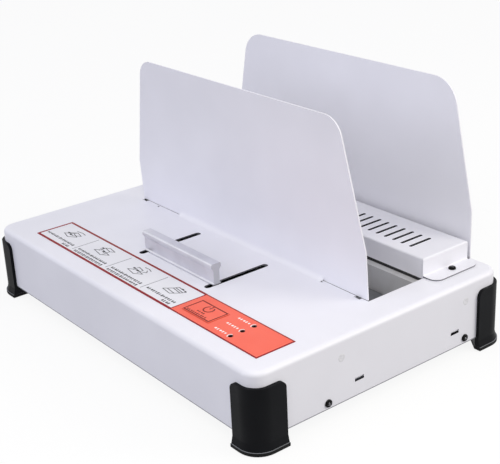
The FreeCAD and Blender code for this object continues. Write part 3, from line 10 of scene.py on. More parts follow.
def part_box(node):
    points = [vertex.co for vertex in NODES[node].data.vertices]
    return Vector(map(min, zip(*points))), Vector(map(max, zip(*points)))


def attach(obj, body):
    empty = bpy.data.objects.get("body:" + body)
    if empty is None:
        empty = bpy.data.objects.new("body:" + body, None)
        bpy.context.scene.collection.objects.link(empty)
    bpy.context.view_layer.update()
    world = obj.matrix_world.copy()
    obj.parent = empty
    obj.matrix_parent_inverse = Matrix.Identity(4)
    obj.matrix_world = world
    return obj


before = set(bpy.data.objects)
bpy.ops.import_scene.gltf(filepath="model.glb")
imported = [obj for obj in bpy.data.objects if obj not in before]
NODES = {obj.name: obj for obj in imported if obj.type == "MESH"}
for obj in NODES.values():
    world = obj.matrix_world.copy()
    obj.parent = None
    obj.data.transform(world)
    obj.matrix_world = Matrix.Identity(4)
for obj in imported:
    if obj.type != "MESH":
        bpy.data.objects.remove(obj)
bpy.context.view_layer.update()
MM = 0.001


def corners(node):
    """Lowest and highest corner of a solid, in millimetres."""
    low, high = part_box(node)
    return low / MM, high / MM


def middle_of(node):
    """Middle of a solid's box, in millimetres."""
    low, high = corners(node)
    return (low + high) / 2


# Places on the machine, in millimetres, taken from the solids, and the thickness of its sheet steel.
SHELL_LOW, SHELL_HIGH = corners("top_shell")
COVER_LOW, COVER_HIGH = corners("rear_cover")
FILM_LOW, FILM_HIGH = corners("control_overlay")
KEY_LOW, KEY_HIGH = corners("start_key")
SOLE_LOW, SOLE_HIGH = corners("foot_soles")
INLET_LOW, INLET_HIGH = corners("power_inlet")
HANDLE_LOW, HANDLE_HIGH = corners("handle")
KEY = middle_of("start_key")
LAMPS = [middle_of(name) for name in ("lamp_front", "lamp_middle", "lamp_rear")]
SHEET = 1.2
DECK_Z = FILM_LOW.z
FLANGE_Z = DECK_Z + SHEET

# The printed panel, in millimetres: thickness of the ink, how near its patches join, how far it stays
# inside the film, the gap round the key, width of a step's cell, and width of the part with the steps,
# whose last cell is a little narrower.
INK = 0.05
JOIN = 0.001
PRINT_INSET = 0.3
KEY_GAP = 0.4
CELL = 56.6
STEPS_WIDE = 220.1
ORANGE_LEFT = FILM_LOW.x + STEPS_WIDE
# Depth of the frame's ink, which runs over the film's cut edge down to the deck.
OVER_EDGE = FILM_HIGH.z - FILM_LOW.z + INK

# The camera of the photograph: where it stands in millimetres, how it is turned in degrees, its lens and
# its sensor's width in millimetres, and the nearest that it sees, in metres.
CAMERA_SPOT = (744.4, -548.4, 465.5)
CAMERA_AZIMUTH = 52.59
CAMERA_ELEVATION = 22.62
CAMERA_ROLL = -2.77
CAMERA_LENS = 79.82
SENSOR = 36.0
NEAREST = 0.01

# The studio light: levels of the white room as it shows and as it lights, and three soft lamps. Each lamp
# has the spot where it stands, the spot that it aims at and the length of its sides, in metres, then its
# watts and its tint.
BACKDROP_LEVEL = 0.96
ROOM_LEVEL = 0.74
SOFT_BOXES = {
    "softbox_above": ((0.52, -0.42, 0.75), (0.2, -0.1, 0.05), 0.5, 1.7, "FFFCE8"),
    "softbox_right": ((1.3, 0.95, 0.8), (0.2, 0.12, 0.1), 0.9, 12.2, "FFFAEE"),
    "softbox_front": ((-0.5, -1.9, 1.0), (0.0, 0.0, 0.1), 1.2, 9.1, "E8EAFF"),
}

# Sockets of the colour mixing node, which have no names of their own.
MIX_FACTOR, MIX_FIRST, MIX_SECOND, MIX_RESULT = 0, 6, 7, 2

# How a skin is stretched: even, drawn out into lines along the machine's width, in rings round a rod, in
# upright lines, or in ribs along a flat cable.
EVEN = (1.0, 1.0, 1.0)
ALONG_X = (0.02, 1.0, 1.0)
RINGED = (1.0, 6.0, 1.0)
UPRIGHT_LINES = (1.0, 1.0, 0.1)
CABLE_RIBS = (1.0, 0.02, 0.02)

# Detail of the noise behind a finish's patches and its skin, the part of its range that is used, and how
# strongly the skin stands out.
PATCH_DETAIL, PATCH_LOW, PATCH_HIGH = 2.0, 0.35, 0.65
SKIN_DETAIL, SKIN_LOW, SKIN_HIGH = 3.0, 0.3, 0.7
SKIN_STRENGTH = 0.4

# The sRGB curve: a straight run up to its knee, and an offset power above it.
KNEE, SLOPE, OFFSET, POWER = 0.04045, 12.92, 0.055, 2.4


def linear(colour):
    """An sRGB hex colour as the linear values that shaders take."""
    values = []
    for start in (0, 2, 4):
        part = int(colour[start:start + 2], 16) / 255
        values.append(part / SLOPE if part <= KNEE else ((part + OFFSET) / (1 + OFFSET)) ** POWER)
    return tuple(values) + (1.0,)


def add(tree, kind, inputs=None, **settings):
    """Add a shader node, set its properties, and fill or link its inputs."""
    made = tree.nodes.new(kind)
    for name, value in settings.items():
        setattr(made, name, value)
    for name, value in (inputs or {}).items():
        if isinstance(value, bpy.types.NodeSocket):
            tree.links.new(value, made.inputs[name])
        else:
            made.inputs[name].default_value = value
    return made


def per_metre(millimetres):
    """Pattern scale that repeats about once in a size given in millimetres."""
    return 1.0 / (millimetres * MM)


def within(tree, spot, low, high, inward):
    """One inside a box given by two corners in millimetres, and nothing outside it.

    Where the box is a room, only faces that look inward count.
    """
    centre = (low + high) / 2 * MM
    away = add(tree, "ShaderNodeVectorMath", {0: spot.outputs["Object"], 1: centre}, operation="SUBTRACT")
    reach = add(tree, "ShaderNodeVectorMath", {0: away.outputs[0]}, operation="ABSOLUTE")
    parts = add(tree, "ShaderNodeSeparateXYZ", {0: reach.outputs[0]})
    tests = list(zip(parts.outputs, (high - low) / 2 * MM))
    if inward:
        looks = {0: away.outputs[0], 1: spot.outputs["Normal"]}
        facing = add(tree, "ShaderNodeVectorMath", looks, operation="DOT_PRODUCT")
        tests.append((facing.outputs["Value"], 0.0))
    found = 1.0
    for value, limit in tests:
        under = add(tree, "ShaderNodeMath", {0: value, 1: limit}, operation="LESS_THAN").outputs[0]
        found = add(tree, "ShaderNodeMath", {0: found, 1: under}, operation="MULTIPLY").outputs[0]
    return found


def finish(name, colours, patch, rough, skin, depth, sockets, stretch=EVEN, boxes=()):
    """A finish with two close colours in patches, a range of roughness and a fine skin.

    Patch, skin and depth are sizes in millimetres. Inside a box the surface has the box's own colour.
    The sockets are values that the shader has all over.
    """
    material = bpy.data.materials.new(name)
    material.use_nodes = True
    tree = material.node_tree
    tree.nodes.clear()
    spot = add(tree, "ShaderNodeTexCoord")
    place = spot.outputs["Object"]
    cloud = {"Vector": place, "Scale": per_metre(patch), "Detail": PATCH_DETAIL}
    wide = add(tree, "ShaderNodeTexNoise", cloud)
    spread = {"Value": wide.outputs[0], "From Min": PATCH_LOW, "From Max": PATCH_HIGH}
    share = add(tree, "ShaderNodeMapRange", spread)
    mix = {MIX_FACTOR: share.outputs[0], MIX_FIRST: linear(colours[0]), MIX_SECOND: linear(colours[1])}
    colour = add(tree, "ShaderNodeMix", mix, data_type="RGBA").outputs[MIX_RESULT]
    for low, high, inward, box_colour in boxes:
        share = within(tree, spot, low, high, inward)
        mix = {MIX_FACTOR: share, MIX_FIRST: colour, MIX_SECOND: linear(box_colour)}
        colour = add(tree, "ShaderNodeMix", mix, data_type="RGBA").outputs[MIX_RESULT]
    drawn = add(tree, "ShaderNodeMapping", {"Vector": place, "Scale": stretch}).outputs["Vector"]
    grain = {"Vector": drawn, "Scale": per_metre(skin), "Detail": SKIN_DETAIL}
    fine = add(tree, "ShaderNodeTexNoise", grain)
    spread = {"Value": fine.outputs[0], "From Min": SKIN_LOW, "From Max": SKIN_HIGH}
    spread.update({"To Min": rough[0], "To Max": rough[1]})
    gloss = add(tree, "ShaderNodeMapRange", spread).outputs[0]
    bump = {"Height": fine.outputs[0], "Distance": depth * MM, "Strength": SKIN_STRENGTH}
    relief = add(tree, "ShaderNodeBump", bump).outputs["Normal"]
    surface = {"Base Color": colour, "Roughness": gloss, "Normal": relief}
    shader = add(tree, "ShaderNodeBsdfPrincipled", {**surface, **sockets})
    add(tree, "ShaderNodeOutputMaterial", {"Surface": shader.outputs[0]})
    return material


# How far a box runs past the edge that it colours, in millimetres, and the colours of painted shade on
# the white coat: near black in rooms and holes, dark grey on cut edges, mid grey on the lower rim.
HAIR = 0.05
SHADE_NEAR_BLACK = "141418"
SHADE_DARK_GREY = "6E6E76"
SHADE_MID_GREY = "96969E"


def room(low, high, crown):
    """The room inside a sheet box that is open below, a hair larger than the room itself, in painted
    shade.
    """
    wall = Vector((SHEET - HAIR, SHEET - HAIR, 0))
    return low + wall, Vector((high.x, high.y, crown - SHEET + HAIR)) - wall, True, SHADE_NEAR_BLACK


def cut_edges(left, front, right, rear, top, colour):
    """The walls of holes cut through a sheet, or its outer edges, from just under its upper face."""
    low = Vector((left - HAIR, front - HAIR, top - SHEET + HAIR))
    return low, Vector((right + HAIR, rear + HAIR, top - HAIR)), False, colour


def hole(spot, half, colour):
    """The walls of a small hole in the deck."""
    return cut_edges(spot.x - half, spot.y - half, spot.x + half, spot.y + half, DECK_Z, colour)


# The rooms inside the casing and the cover, near black as painted shade.
FLANGE_REACH = Vector((14.6, 0, 0))
SHADE_AND_INK_PLACES = [room(SHELL_LOW, SHELL_HIGH, DECK_Z)]
SHADE_AND_INK_PLACES.append(room(COVER_LOW + FLANGE_REACH, COVER_HIGH - FLANGE_REACH, COVER_HIGH.z))
# The walls of the vents, from the first to the last, near black as painted shade.
VENT_INSET = 36.0
VENT_FRONT, VENT_REAR = 84.0, 109.9
vent_left, vent_right = COVER_LOW.x + VENT_INSET, COVER_HIGH.x - VENT_INSET
SHADE_AND_INK_PLACES.append(cut_edges(vent_left, VENT_FRONT, vent_right, VENT_REAR, COVER_HIGH.z, SHADE_NEAR_BLACK))
# The walls of the two slots that the handle runs over, dark grey as painted shade.
CLAMP_X = middle_of("handle").x
SLOT_HALF_SPACING = 49.5
SLOT_HALF_WIDTH = 3.1
SLOT_FRONT, SLOT_REAR = -71.0, -3.7
for side in (-1, 1):
    left = CLAMP_X + side * SLOT_HALF_SPACING - SLOT_HALF_WIDTH
    right = left + SLOT_HALF_WIDTH * 2
    SHADE_AND_INK_PLACES.append(cut_edges(left, SLOT_FRONT, right, SLOT_REAR, DECK_Z, SHADE_DARK_GREY))
# The bend relief holes at the ends of the front plate, near black on their walls as painted shade.
RELIEFS = (Vector((-129.5, 6.9)), Vector((113.5, 6.9)))
RELIEF_HALF = 1.0
for relief in RELIEFS:
    SHADE_AND_INK_PLACES.append(hole(relief, RELIEF_HALF, SHADE_NEAR_BLACK))
# The groove round the key, which the orange ink runs into.
GROOVE = KEY_GAP + HAIR
GROOVE_ORANGE = "D8543F"
GROOVE_LOW = Vector((KEY_LOW.x - GROOVE, KEY_LOW.y - GROOVE, DECK_Z - HAIR))
GROOVE_HIGH = Vector((KEY_HIGH.x + GROOVE, KEY_HIGH.y + GROOVE, FILM_HIGH.z + HAIR))
SHADE_AND_INK_PLACES.append((GROOVE_LOW, GROOVE_HIGH, False, GROOVE_ORANGE))
# The lamps' holes, near black on their walls as painted shade.
LAMP_WELL = 2.4
for lamp in LAMPS:
    SHADE_AND_INK_PLACES.append(hole(lamp, LAMP_WELL, SHADE_NEAR_BLACK))
# The cut edges of the cover's two flanges, dark grey as painted shade.
for left in (COVER_LOW.x, COVER_HIGH.x - FLANGE_REACH.x):
    right = left + FLANGE_REACH.x
    SHADE_AND_INK_PLACES.append(cut_edges(left, COVER_LOW.y, right, COVER_HIGH.y, FLANGE_Z, SHADE_DARK_GREY))
# The lower rim of the casing's walls, mid grey as painted shade along the bottom.
RIM_TALL = 0.9
RIM_END = Vector((SHELL_HIGH.x + HAIR, SHELL_HIGH.y + HAIR, SHELL_LOW.z + RIM_TALL))
SHADE_AND_INK_PLACES.append((SHELL_LOW - Vector((HAIR, HAIR, HAIR)), RIM_END, False, SHADE_MID_GREY))
# The slits of the bridge lances in the side walls, below and above each bridge, near black as painted
# shade.
LANCES = (-30.1, 78.8)
LANCE_HALF = 4.85
SLITS = ((24.65, 26.3), (27.0, 28.05))
LANCE_DEEP = 3.0
for y in LANCES:
    for low, high in SLITS:
        for wall in (SHELL_LOW.x + HAIR, SHELL_HIGH.x - HAIR - LANCE_DEEP):
            start = Vector((wall, y - LANCE_HALF, low))
            reach = Vector((LANCE_DEEP, LANCE_HALF * 2, high - low))
            SHADE_AND_INK_PLACES.append((start, start + reach, False, SHADE_NEAR_BLACK))
# The room of the inlet's socket that holds its pins, clear of the moulded walls.
PINS_CLEAR_LOW = Vector((16.0, 0, 6.0))
PINS_CLEAR_HIGH = Vector((16.0, 0, 5.0))
PINS_DEEP = 17.9
PINS_LOW = Vector((INLET_LOW.x, INLET_HIGH.y - PINS_DEEP, INLET_LOW.z)) + PINS_CLEAR_LOW
PINS_HIGH = INLET_HIGH - PINS_CLEAR_HIGH

# Grain, draw lines and rings finer than about half a millimetre don't show at the photograph's distance,
# so the finishes below draw them coarser than they are.

# Powder coat on sheet steel, baked smooth: a satin cool white with a fine orange peel in its gloss. Rooms,
# holes and cut edges carry painted shade in dark colours, so slots and vents look dark.
powder_coat = finish("powder_coat_white", ("E9E9F1", "EDEDF5"), patch=70.0, rough=(0.32, 0.42),
                     skin=1.6, depth=0.02, sockets={"IOR": 1.5, "Specular IOR Level": 0.42},
                     boxes=SHADE_AND_INK_PLACES)

# The same coat over the spot welds, slightly duller and greyer than the rest.
weld_coat = finish("powder_coat_over_welds", ("DADAE0", "E6E6EC"), patch=1.5, rough=(0.45, 0.55),
                   skin=0.6, depth=0.04, sockets={"IOR": 1.5})

# The same coat, greyer, on the liner of the trough, with faint heat staining.
liner_coat = finish("powder_coat_grey_white", ("C4C3C4", "CFCFD2"), patch=24.0, rough=(0.4, 0.5),
                    skin=1.6, depth=0.02, sockets={"IOR": 1.5})

# ABS moulded in a spark-eroded tool: near black with a fine, dull grain.
moulded_black = finish("abs_moulded_black", ("0D0E11", "131417"), patch=30.0, rough=(0.4, 0.52),
                       skin=0.7, depth=0.05, sockets={"IOR": 1.53, "Specular IOR Level": 0.07})

# Moulded rubber: dull black, with a painted highlight on its ledge that draws a light line along the foot
# of each guard.
LEDGE_LOW = Vector((SOLE_LOW.x, SOLE_LOW.y, SOLE_HIGH.z - HAIR))
LEDGE_HIGH = SOLE_HIGH + Vector((0, 0, HAIR))
LEDGE_HIGHLIGHT_GREY = "7C7E84"
rubber_black = finish("rubber_moulded_black", ("0A0A0B", "101011"), patch=9.0, rough=(0.6, 0.75),
                      skin=1.2, depth=0.06, sockets={"IOR": 1.52, "Specular IOR Level": 0.15},
                      boxes=((LEDGE_LOW, LEDGE_HIGH, False, LEDGE_HIGHLIGHT_GREY),))

# Steel screws with a black oxide skin: dark, with a faint gloss.
black_oxide = finish("steel_black_oxide", ("070708", "0C0C0E"), patch=2.0, rough=(0.3, 0.42),
                     skin=0.4, depth=0.02, sockets={"IOR": 1.6, "Specular IOR Level": 0.06})

# The same steel where the driver has worn the recess bright, which also serves as a painted glint there.
worn_steel_and_glint = finish("steel_worn_bright_glint", ("B8B8BC", "D0D0D4"), patch=1.0, rough=(0.3, 0.45),
                    skin=0.3, depth=0.02, sockets={"Metallic": 1.0})

# Phosphated sheet steel: dull charcoal that swallows light under the slots.
black_phosphate = finish("steel_phosphated", ("060608", "0A0A0C"), patch=5.0, rough=(0.6, 0.75),
                         skin=0.8, depth=0.03, sockets={"IOR": 1.5, "Specular IOR Level": 0.1})

# Extruded aluminium, satin anodised: silver with faint draw lines along its length, and ends darker as
# painted shade.
END_HAIR = Vector((HAIR, 0, 0))
END_SHADE_GREY = "BABAC0"
LEFT_END = Vector((HANDLE_LOW.x, HANDLE_HIGH.y, HANDLE_HIGH.z))
RIGHT_END = Vector((HANDLE_HIGH.x, HANDLE_LOW.y, HANDLE_LOW.z))
SHADED_ENDS = ((HANDLE_LOW - END_HAIR, LEFT_END + END_HAIR, False, END_SHADE_GREY),
             (RIGHT_END - END_HAIR, HANDLE_HIGH + END_HAIR, False, END_SHADE_GREY))
anodised_bar = finish("aluminium_extruded_anodised", ("D6D6DE", "DFDFE7"), patch=18.0, rough=(0.36, 0.48),
                      skin=0.8, depth=0.015, sockets={"Metallic": 0.9}, stretch=ALONG_X, boxes=SHADED_ENDS)

# Mill-finish aluminium angle for the jaw: rolled lines along its length.
mill_aluminium = finish("aluminium_mill_finish", ("BDBFC3", "C8CACD"), patch=20.0, rough=(0.35, 0.5),
                        skin=0.9, depth=0.02, sockets={"Metallic": 1.0}, stretch=ALONG_X)

# Hard anodised heating plate: dull mid grey with faint traces of melted glue.
heater_anodised = finish("aluminium_hard_anodised", ("7C7E82", "8A8B8E"), patch=16.0, rough=(0.42, 0.58),
                         skin=0.6, depth=0.02, sockets={"Metallic": 0.7})

# Zinc-plated sheet: cool grey metal with a soft cloudy sheen.
zinc_sheet = finish("steel_zinc_plated", ("AEB1B6", "BFC2C6"), patch=7.0, rough=(0.35, 0.52),
                    skin=0.8, depth=0.02, sockets={"Metallic": 1.0})

# Ground steel for rods, studs and posts: bright, with fine rings.
ground_steel = finish("steel_ground", ("C4C5C8", "CDCED0"), patch=6.0, rough=(0.22, 0.34),
                      skin=0.5, depth=0.01, sockets={"Metallic": 1.0}, stretch=RINGED)

# Machined acetal: milky white, smooth, a little waxy.
acetal = finish("acetal_machined", ("E9E8E3", "EFEEEA"), patch=8.0, rough=(0.38, 0.48),
                skin=0.9, depth=0.02, sockets={"IOR": 1.48})

# Mica strip of the heater: tan flakes with a dull gloss.
mica = finish("mica_strip", ("A8926B", "BCA67F"), patch=4.0, rough=(0.4, 0.6),
              skin=1.2, depth=0.05, sockets={"IOR": 1.58})

# Pressed fibre board under the heater: cream, soft and dull.
fibre_board = finish("fibre_board_pressed", ("D6D0BF", "E2DDCF"), patch=5.0, rough=(0.85, 0.95),
                     skin=1.0, depth=0.12, sockets={"IOR": 1.45})

# Unglazed steatite spacers: chalky off-white.
steatite = finish("steatite_unglazed", ("E4E1D8", "ECEAE3"), patch=5.0, rough=(0.55, 0.68),
                  skin=0.6, depth=0.03, sockets={"IOR": 1.6})

# Phenolic mouldings on the boards: black with a dry gloss.
component_black = finish("phenolic_moulded_black", ("17181A", "1F2022"), patch=6.0, rough=(0.4, 0.55),
                         skin=0.5, depth=0.02, sockets={"IOR": 1.55})

# Fibreglass boards under green solder mask: deep green with a lacquer gloss.
solder_mask = finish("solder_mask_green", ("0F4A26", "145A30"), patch=5.0, rough=(0.28, 0.38),
                     skin=0.8, depth=0.015, sockets={"IOR": 1.52})

# Varnished laminations of the transformer: dark, with fine upright lines.
varnished_iron = finish("iron_varnished", ("2A2A2D", "36353A"), patch=5.0, rough=(0.35, 0.5),
                        skin=0.5, depth=0.03, sockets={"Metallic": 0.5}, stretch=UPRIGHT_LINES)

# Terminal strip moulded in green nylon: a waxy gloss.
nylon_green = finish("nylon_moulded_green", ("1C6B38", "237A42"), patch=6.0, rough=(0.42, 0.55),
                     skin=0.6, depth=0.02, sockets={"IOR": 1.53})

# Grey flat cable, ribbed along its wires.
flat_cable = finish("pvc_flat_cable_grey", ("86888C", "97999D"), patch=1.27, rough=(0.45, 0.55),
                    skin=1.2, depth=0.05, sockets={"IOR": 1.53}, stretch=CABLE_RIBS)

# Inlet and rocker moulded in black nylon: glossy, with bright nickel on the inlet's pins.
NICKEL = "C9C8C2"
nylon_black = finish("nylon_moulded_black", ("111214", "18191B"), patch=14.0, rough=(0.26, 0.36),
                     skin=0.8, depth=0.02, sockets={"IOR": 1.53},
                     boxes=((PINS_LOW, PINS_HIGH, False, NICKEL),))

# Lamp lenses cast in smoke-black resin, unlit: dark, with a faint gloss.
lamp_resin = finish("epoxy_lamp_smoke", ("08080A", "100C0E"), patch=1.5, rough=(0.4, 0.5),
                    skin=0.6, depth=0.01, sockets={"IOR": 1.56, "Specular IOR Level": 0.1})

# Screen-printed polyester film: white ground with a satin grain, painted shade on the walls of the lamps'
# holes, and orange walls round the key.
FILM_WELL = 1.9
FILM_SHADE_AND_INK_PLACES = []
for lamp in LAMPS:
    low = Vector((lamp.x - FILM_WELL, lamp.y - FILM_WELL, 0))
    high = Vector((lamp.x + FILM_WELL, lamp.y + FILM_WELL, FILM_HIGH.z - HAIR))
    FILM_SHADE_AND_INK_PLACES.append((low, high, False, SHADE_NEAR_BLACK))
FILM_SHADE_AND_INK_PLACES.append((GROOVE_LOW, GROOVE_HIGH, False, GROOVE_ORANGE))
film_white = finish("polyester_film_white", ("E8E8EE", "ECECF1"), patch=40.0, rough=(0.38, 0.48),
                    skin=0.5, depth=0.01, sockets={"IOR": 1.57}, boxes=FILM_SHADE_AND_INK_PLACES)

# The inks screened on the film, the key and the rocker: even, opaque, and duller where they are dark.
INK_SKIN = {"rough": (0.42, 0.52), "skin": 0.5, "depth": 0.01}
PALE_INK = {"IOR": 1.5}
DARK_INK = {"IOR": 1.5, "Specular IOR Level": 0.2}
ink_orange = finish("screen_ink_orange", ("F4664F", "F66C55"), patch=30.0, sockets=PALE_INK, **INK_SKIN)
ink_red = finish("screen_ink_dark_red", ("8A000E", "920210"), patch=8.0, sockets=DARK_INK, **INK_SKIN)
ink_maroon = finish("screen_ink_maroon", ("5A0408", "62060A"), patch=8.0, sockets=DARK_INK, **INK_SKIN)
ink_black = finish("screen_ink_charcoal", ("0E0E16", "16161E"), patch=8.0, sockets=DARK_INK, **INK_SKIN)
ink_grey = finish("screen_ink_grey", ("7E7E86", "86868E"), patch=8.0, sockets=PALE_INK, **INK_SKIN)
ink_white = finish("screen_ink_white", ("F4EEEC", "F8F4F2"), patch=8.0, sockets=PALE_INK, **INK_SKIN)

COATS = {
    powder_coat: ["top_shell", "rear_cover", "rear_plate"],
    liner_coat: ["trough_liner"],
    moulded_black: ["foot_front_left", "foot_front_right", "foot_rear_left", "foot_rear_right"],
    rubber_black: ["foot_soles"],
    anodised_bar: ["handle"],
    mill_aluminium: ["clamp_jaw"],
    heater_anodised: ["heating_plate"],
    black_phosphate: ["clamp_slide"],
    zinc_sheet: ["base_plate", "rod_bracket_front", "rod_bracket_rear", "heater_clamp",
                 "trough_bracket_left", "trough_bracket_right"],
    ground_steel: ["guide_rods", "handle_studs", "board_posts", "power_posts", "temperature_sensor"],
    acetal: ["slide_bushes"],
    mica: ["heater_element"],
    fibre_board: ["heater_insulation"],
    steatite: ["heater_spacers"],
    component_black: ["key_plunger", "key_switch", "buzzer", "controller", "ribbon_headers", "relay",
                      "capacitor", "thermostat"],
    solder_mask: ["control_board", "power_board"],
    varnished_iron: ["transformer"],
    nylon_green: ["terminal_block"],
    flat_cable: ["panel_ribbon"],
    nylon_black: ["power_inlet", "switch_housing", "switch_rocker"],
    lamp_resin: ["lamp_front", "lamp_middle", "lamp_rear"],
    film_white: ["control_overlay"],
    ink_orange: ["start_key"],
}


def coat_solids():
    """Give every solid of the frame its finish."""
    for material, names in COATS.items():
        for name in names:
            slots = NODES[name].data.materials
            slots.clear()
            slots.append(material)


def new_piece(name, mesh, material, body):
    """A finished piece that rides on a body of the frame."""
    piece = bpy.data.objects.new(name, mesh)
    bpy.context.scene.collection.objects.link(piece)
    mesh.materials.append(material)
    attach(piece, body)
    return piece


def mesh_of(name, shape):
    """Turn a worked shape into a mesh with clean outward faces."""
    bmesh.ops.recalc_face_normals(shape, faces=shape.faces)
    mesh = bpy.data.meshes.new(name)
    shape.to_mesh(mesh)
    shape.free()
    return mesh


def lathe(profile, steps):
    """A closed solid turned about Z from a profile of (radius, height) in millimetres."""
    shape = bmesh.new()
    rings = []
    for radius, height in profile:
        if radius == 0:
            rings.append([shape.verts.new((0, 0, height * MM))])
            continue
        spots = ring((0, 0), radius, steps=steps)
        rings.append([shape.verts.new((x * MM, y * MM, height * MM)) for x, y in spots])
    for lower, upper in zip(rings, rings[1:]):
        for step in range(steps):
            after = (step + 1) % steps
            around = [lower[step % len(lower)], lower[after % len(lower)]]
            around += [upper[after % len(upper)], upper[step % len(upper)]]
            shape.faces.new(list(dict.fromkeys(around)))
    return shape


# A pan head's outline as shares of its radius and height, and its driver recess: reach and blade as shares
# of the head's diameter, floor and top as shares of its height, and taper. The recess is worn bright,
# which also paints a glint into it, up to a share of the radius and of the height.
HEAD_OUTLINE = ((0, 0), (0.96, 0), (1, 0.12), (1, 0.4), (0.93, 0.66), (0.76, 0.86), (0.45, 0.97), (0, 1))
HEAD_STEPS = 28
RECESS_REACH, RECESS_BLADE = 0.58, 0.15
RECESS_FLOOR, RECESS_TOP = 0.35, 1.4
RECESS_TAPER = 0.8
WORN_GLINT_REACH, WORN_GLINT_TOP = 0.6, 0.9


def cross_cutter(reach, blade, low, high):
    """The cross-shaped tool that leaves a driver recess, in millimetres."""
    half = blade / 2
    tip = reach / 2
    foot = RECESS_TAPER * MM
    outline = [(half, half), (half, tip), (-half, tip), (-half, half), (-tip, half), (-tip, -half)]
    outline += [(-half, -half), (-half, -tip), (half, -tip), (half, -half), (tip, -half), (tip, half)]
    shape = bmesh.new()
    floor = [shape.verts.new((x * foot, y * foot, low * MM)) for x, y in outline]
    roof = [shape.verts.new((x * MM, y * MM, high * MM)) for x, y in outline]
    close_band(shape, floor, roof)
    return shape


def close_band(shape, floor, roof):
    """Join two loops of points into a closed solid."""
    shape.faces.new(floor)
    shape.faces.new(roof)
    for index in range(len(floor)):
        after = (index + 1) % len(floor)
        shape.faces.new([floor[index], floor[after], roof[after], roof[index]])


def pan_head(diameter, tall):
    """Mesh of a domed pan head with a cross recess, standing on the ground plane."""
    radius = diameter / 2
    profile = [(radius * out, tall * up) for out, up in HEAD_OUTLINE]
    head = bpy.data.objects.new("head", mesh_of("head", lathe(profile, HEAD_STEPS)))
    reach, blade = diameter * RECESS_REACH, diameter * RECESS_BLADE
    cutter = cross_cutter(reach, blade, tall * RECESS_FLOOR, tall * RECESS_TOP)
    tool = bpy.data.objects.new("recess", mesh_of("recess", cutter))
    for thing in (head, tool):
        bpy.context.scene.collection.objects.link(thing)
    cut = head.modifiers.new("recess", "BOOLEAN")
    cut.operation = "DIFFERENCE"
    cut.object = tool
    graph = bpy.context.evaluated_depsgraph_get()
    mesh = bpy.data.meshes.new_from_object(head.evaluated_get(graph))
    # Faces in the recess take the second material, worn bright steel that also paints a glint.
    for face in mesh.polygons:
        inside = face.center.xy.length < radius * WORN_GLINT_REACH * MM
        if inside and 0 < face.center.z < tall * WORN_GLINT_TOP * MM:
            face.material_index = 1
    for thing in (head, tool):
        bpy.data.objects.remove(thing)
    return mesh


def set_out(name, model, seats, outward, material, slot, twist=0.0):
    """Copies of a mesh seated on a row of spots, facing outward, as one piece of the case."""
    shape = bmesh.new()
    turn = Vector((0, 0, 1)).rotation_difference(Vector(outward)).to_matrix().to_4x4()
    for index, seat in enumerate(seats):
        spin = Matrix.Rotation(math.radians(twist * (index + 1)), 4, "Z")
        copy = model.copy()
        copy.transform(Matrix.Translation(Vector(seat) * MM) @ turn @ spin)
        shape.from_mesh(copy)
        bpy.data.meshes.remove(copy)
    return new_piece(name, mesh_of(name, shape), material, "case")


def make_screws():
    """Every screw head that shows on the outside, with its recess worn bright, which also paints a glint
    there.
    """
    small = pan_head(diameter=6.6, tall=2.0)
    large = pan_head(diameter=7.4, tall=2.4)
    oxide = (black_oxide, "black_screw")
    bright = (ground_steel, "bright_steel")
    screw_y = (-63.0, 91.0)
    screw_z = 17.2
    screws = []
    for side, wall, word in ((-1, SHELL_LOW.x, "left"), (1, SHELL_HIGH.x, "right")):
        seats = [(wall, y, screw_z) for y in screw_y]
        name = "side_screws_" + word
        screws.append(set_out(name, small, seats, (side, 0, 0), *oxide, twist=25))
    inset = 8.8
    flange_y = 102.0
    seats = [(COVER_LOW.x + inset, flange_y, FLANGE_Z), (COVER_HIGH.x - inset, flange_y, FLANGE_Z)]
    screws.append(set_out("cover_screws", small, seats, (0, 0, 1), *oxide, twist=33))
    work_x = middle_of("rear_plate").x
    plate_z = 42.0
    plate_row = (-120.0, -40.0, 40.0, 120.0)
    seats = [(work_x + across, SHELL_HIGH.y, plate_z) for across in plate_row]
    screws.append(set_out("rear_plate_screws", small, seats, (0, 1, 0), *oxide, twist=38))
    inset = 5.0
    height = (INLET_LOW.z + INLET_HIGH.z) / 2
    seats = [(x, INLET_HIGH.y, height) for x in (INLET_LOW.x + inset, INLET_HIGH.x - inset)]
    screws.append(set_out("inlet_screws", small, seats, (0, 1, 0), *bright, twist=20))
    inset_x, inset_y = 14.8, 16.3
    seats = []
    for x in (SOLE_LOW.x + inset_x, SOLE_HIGH.x - inset_x):
        seats += [(x, SOLE_LOW.y + inset_y, SOLE_HIGH.z), (x, SOLE_HIGH.y - inset_y, SOLE_HIGH.z)]
    screws.append(set_out("foot_screws", large, seats, (0, 0, -1), *oxide, twist=29))
    # Each screw's second material is the worn bright steel that also paints the recess glint.
    for screw in screws:
        screw.data.materials.append(worn_steel_and_glint)


def make_weld_marks():
    """Faint spot-weld marks under the coat of the side walls: a low ring round a shallow dish."""
    profile = [(0, -0.1), (3.4, -0.1), (3.4, 0.0), (2.7, 0.16), (1.9, 0.12), (1.2, 0.03), (0, 0.01)]
    spot = mesh_of("weld", lathe(profile, steps=24))
    weld_y = (-48.5, 91.6)
    weld_z = 51.0
    for side, wall, word in ((-1, SHELL_LOW.x, "left"), (1, SHELL_HIGH.x, "right")):
        seats = [(wall, y, weld_z) for y in weld_y]
        set_out("weld_marks_" + word, spot, seats, (side, 0, 0), weld_coat, "white_casing")


def rectangle(left, front, right, rear):
    """Corners of a rectangle, going round it."""
    return [(left, front), (right, front), (right, rear), (left, rear)]


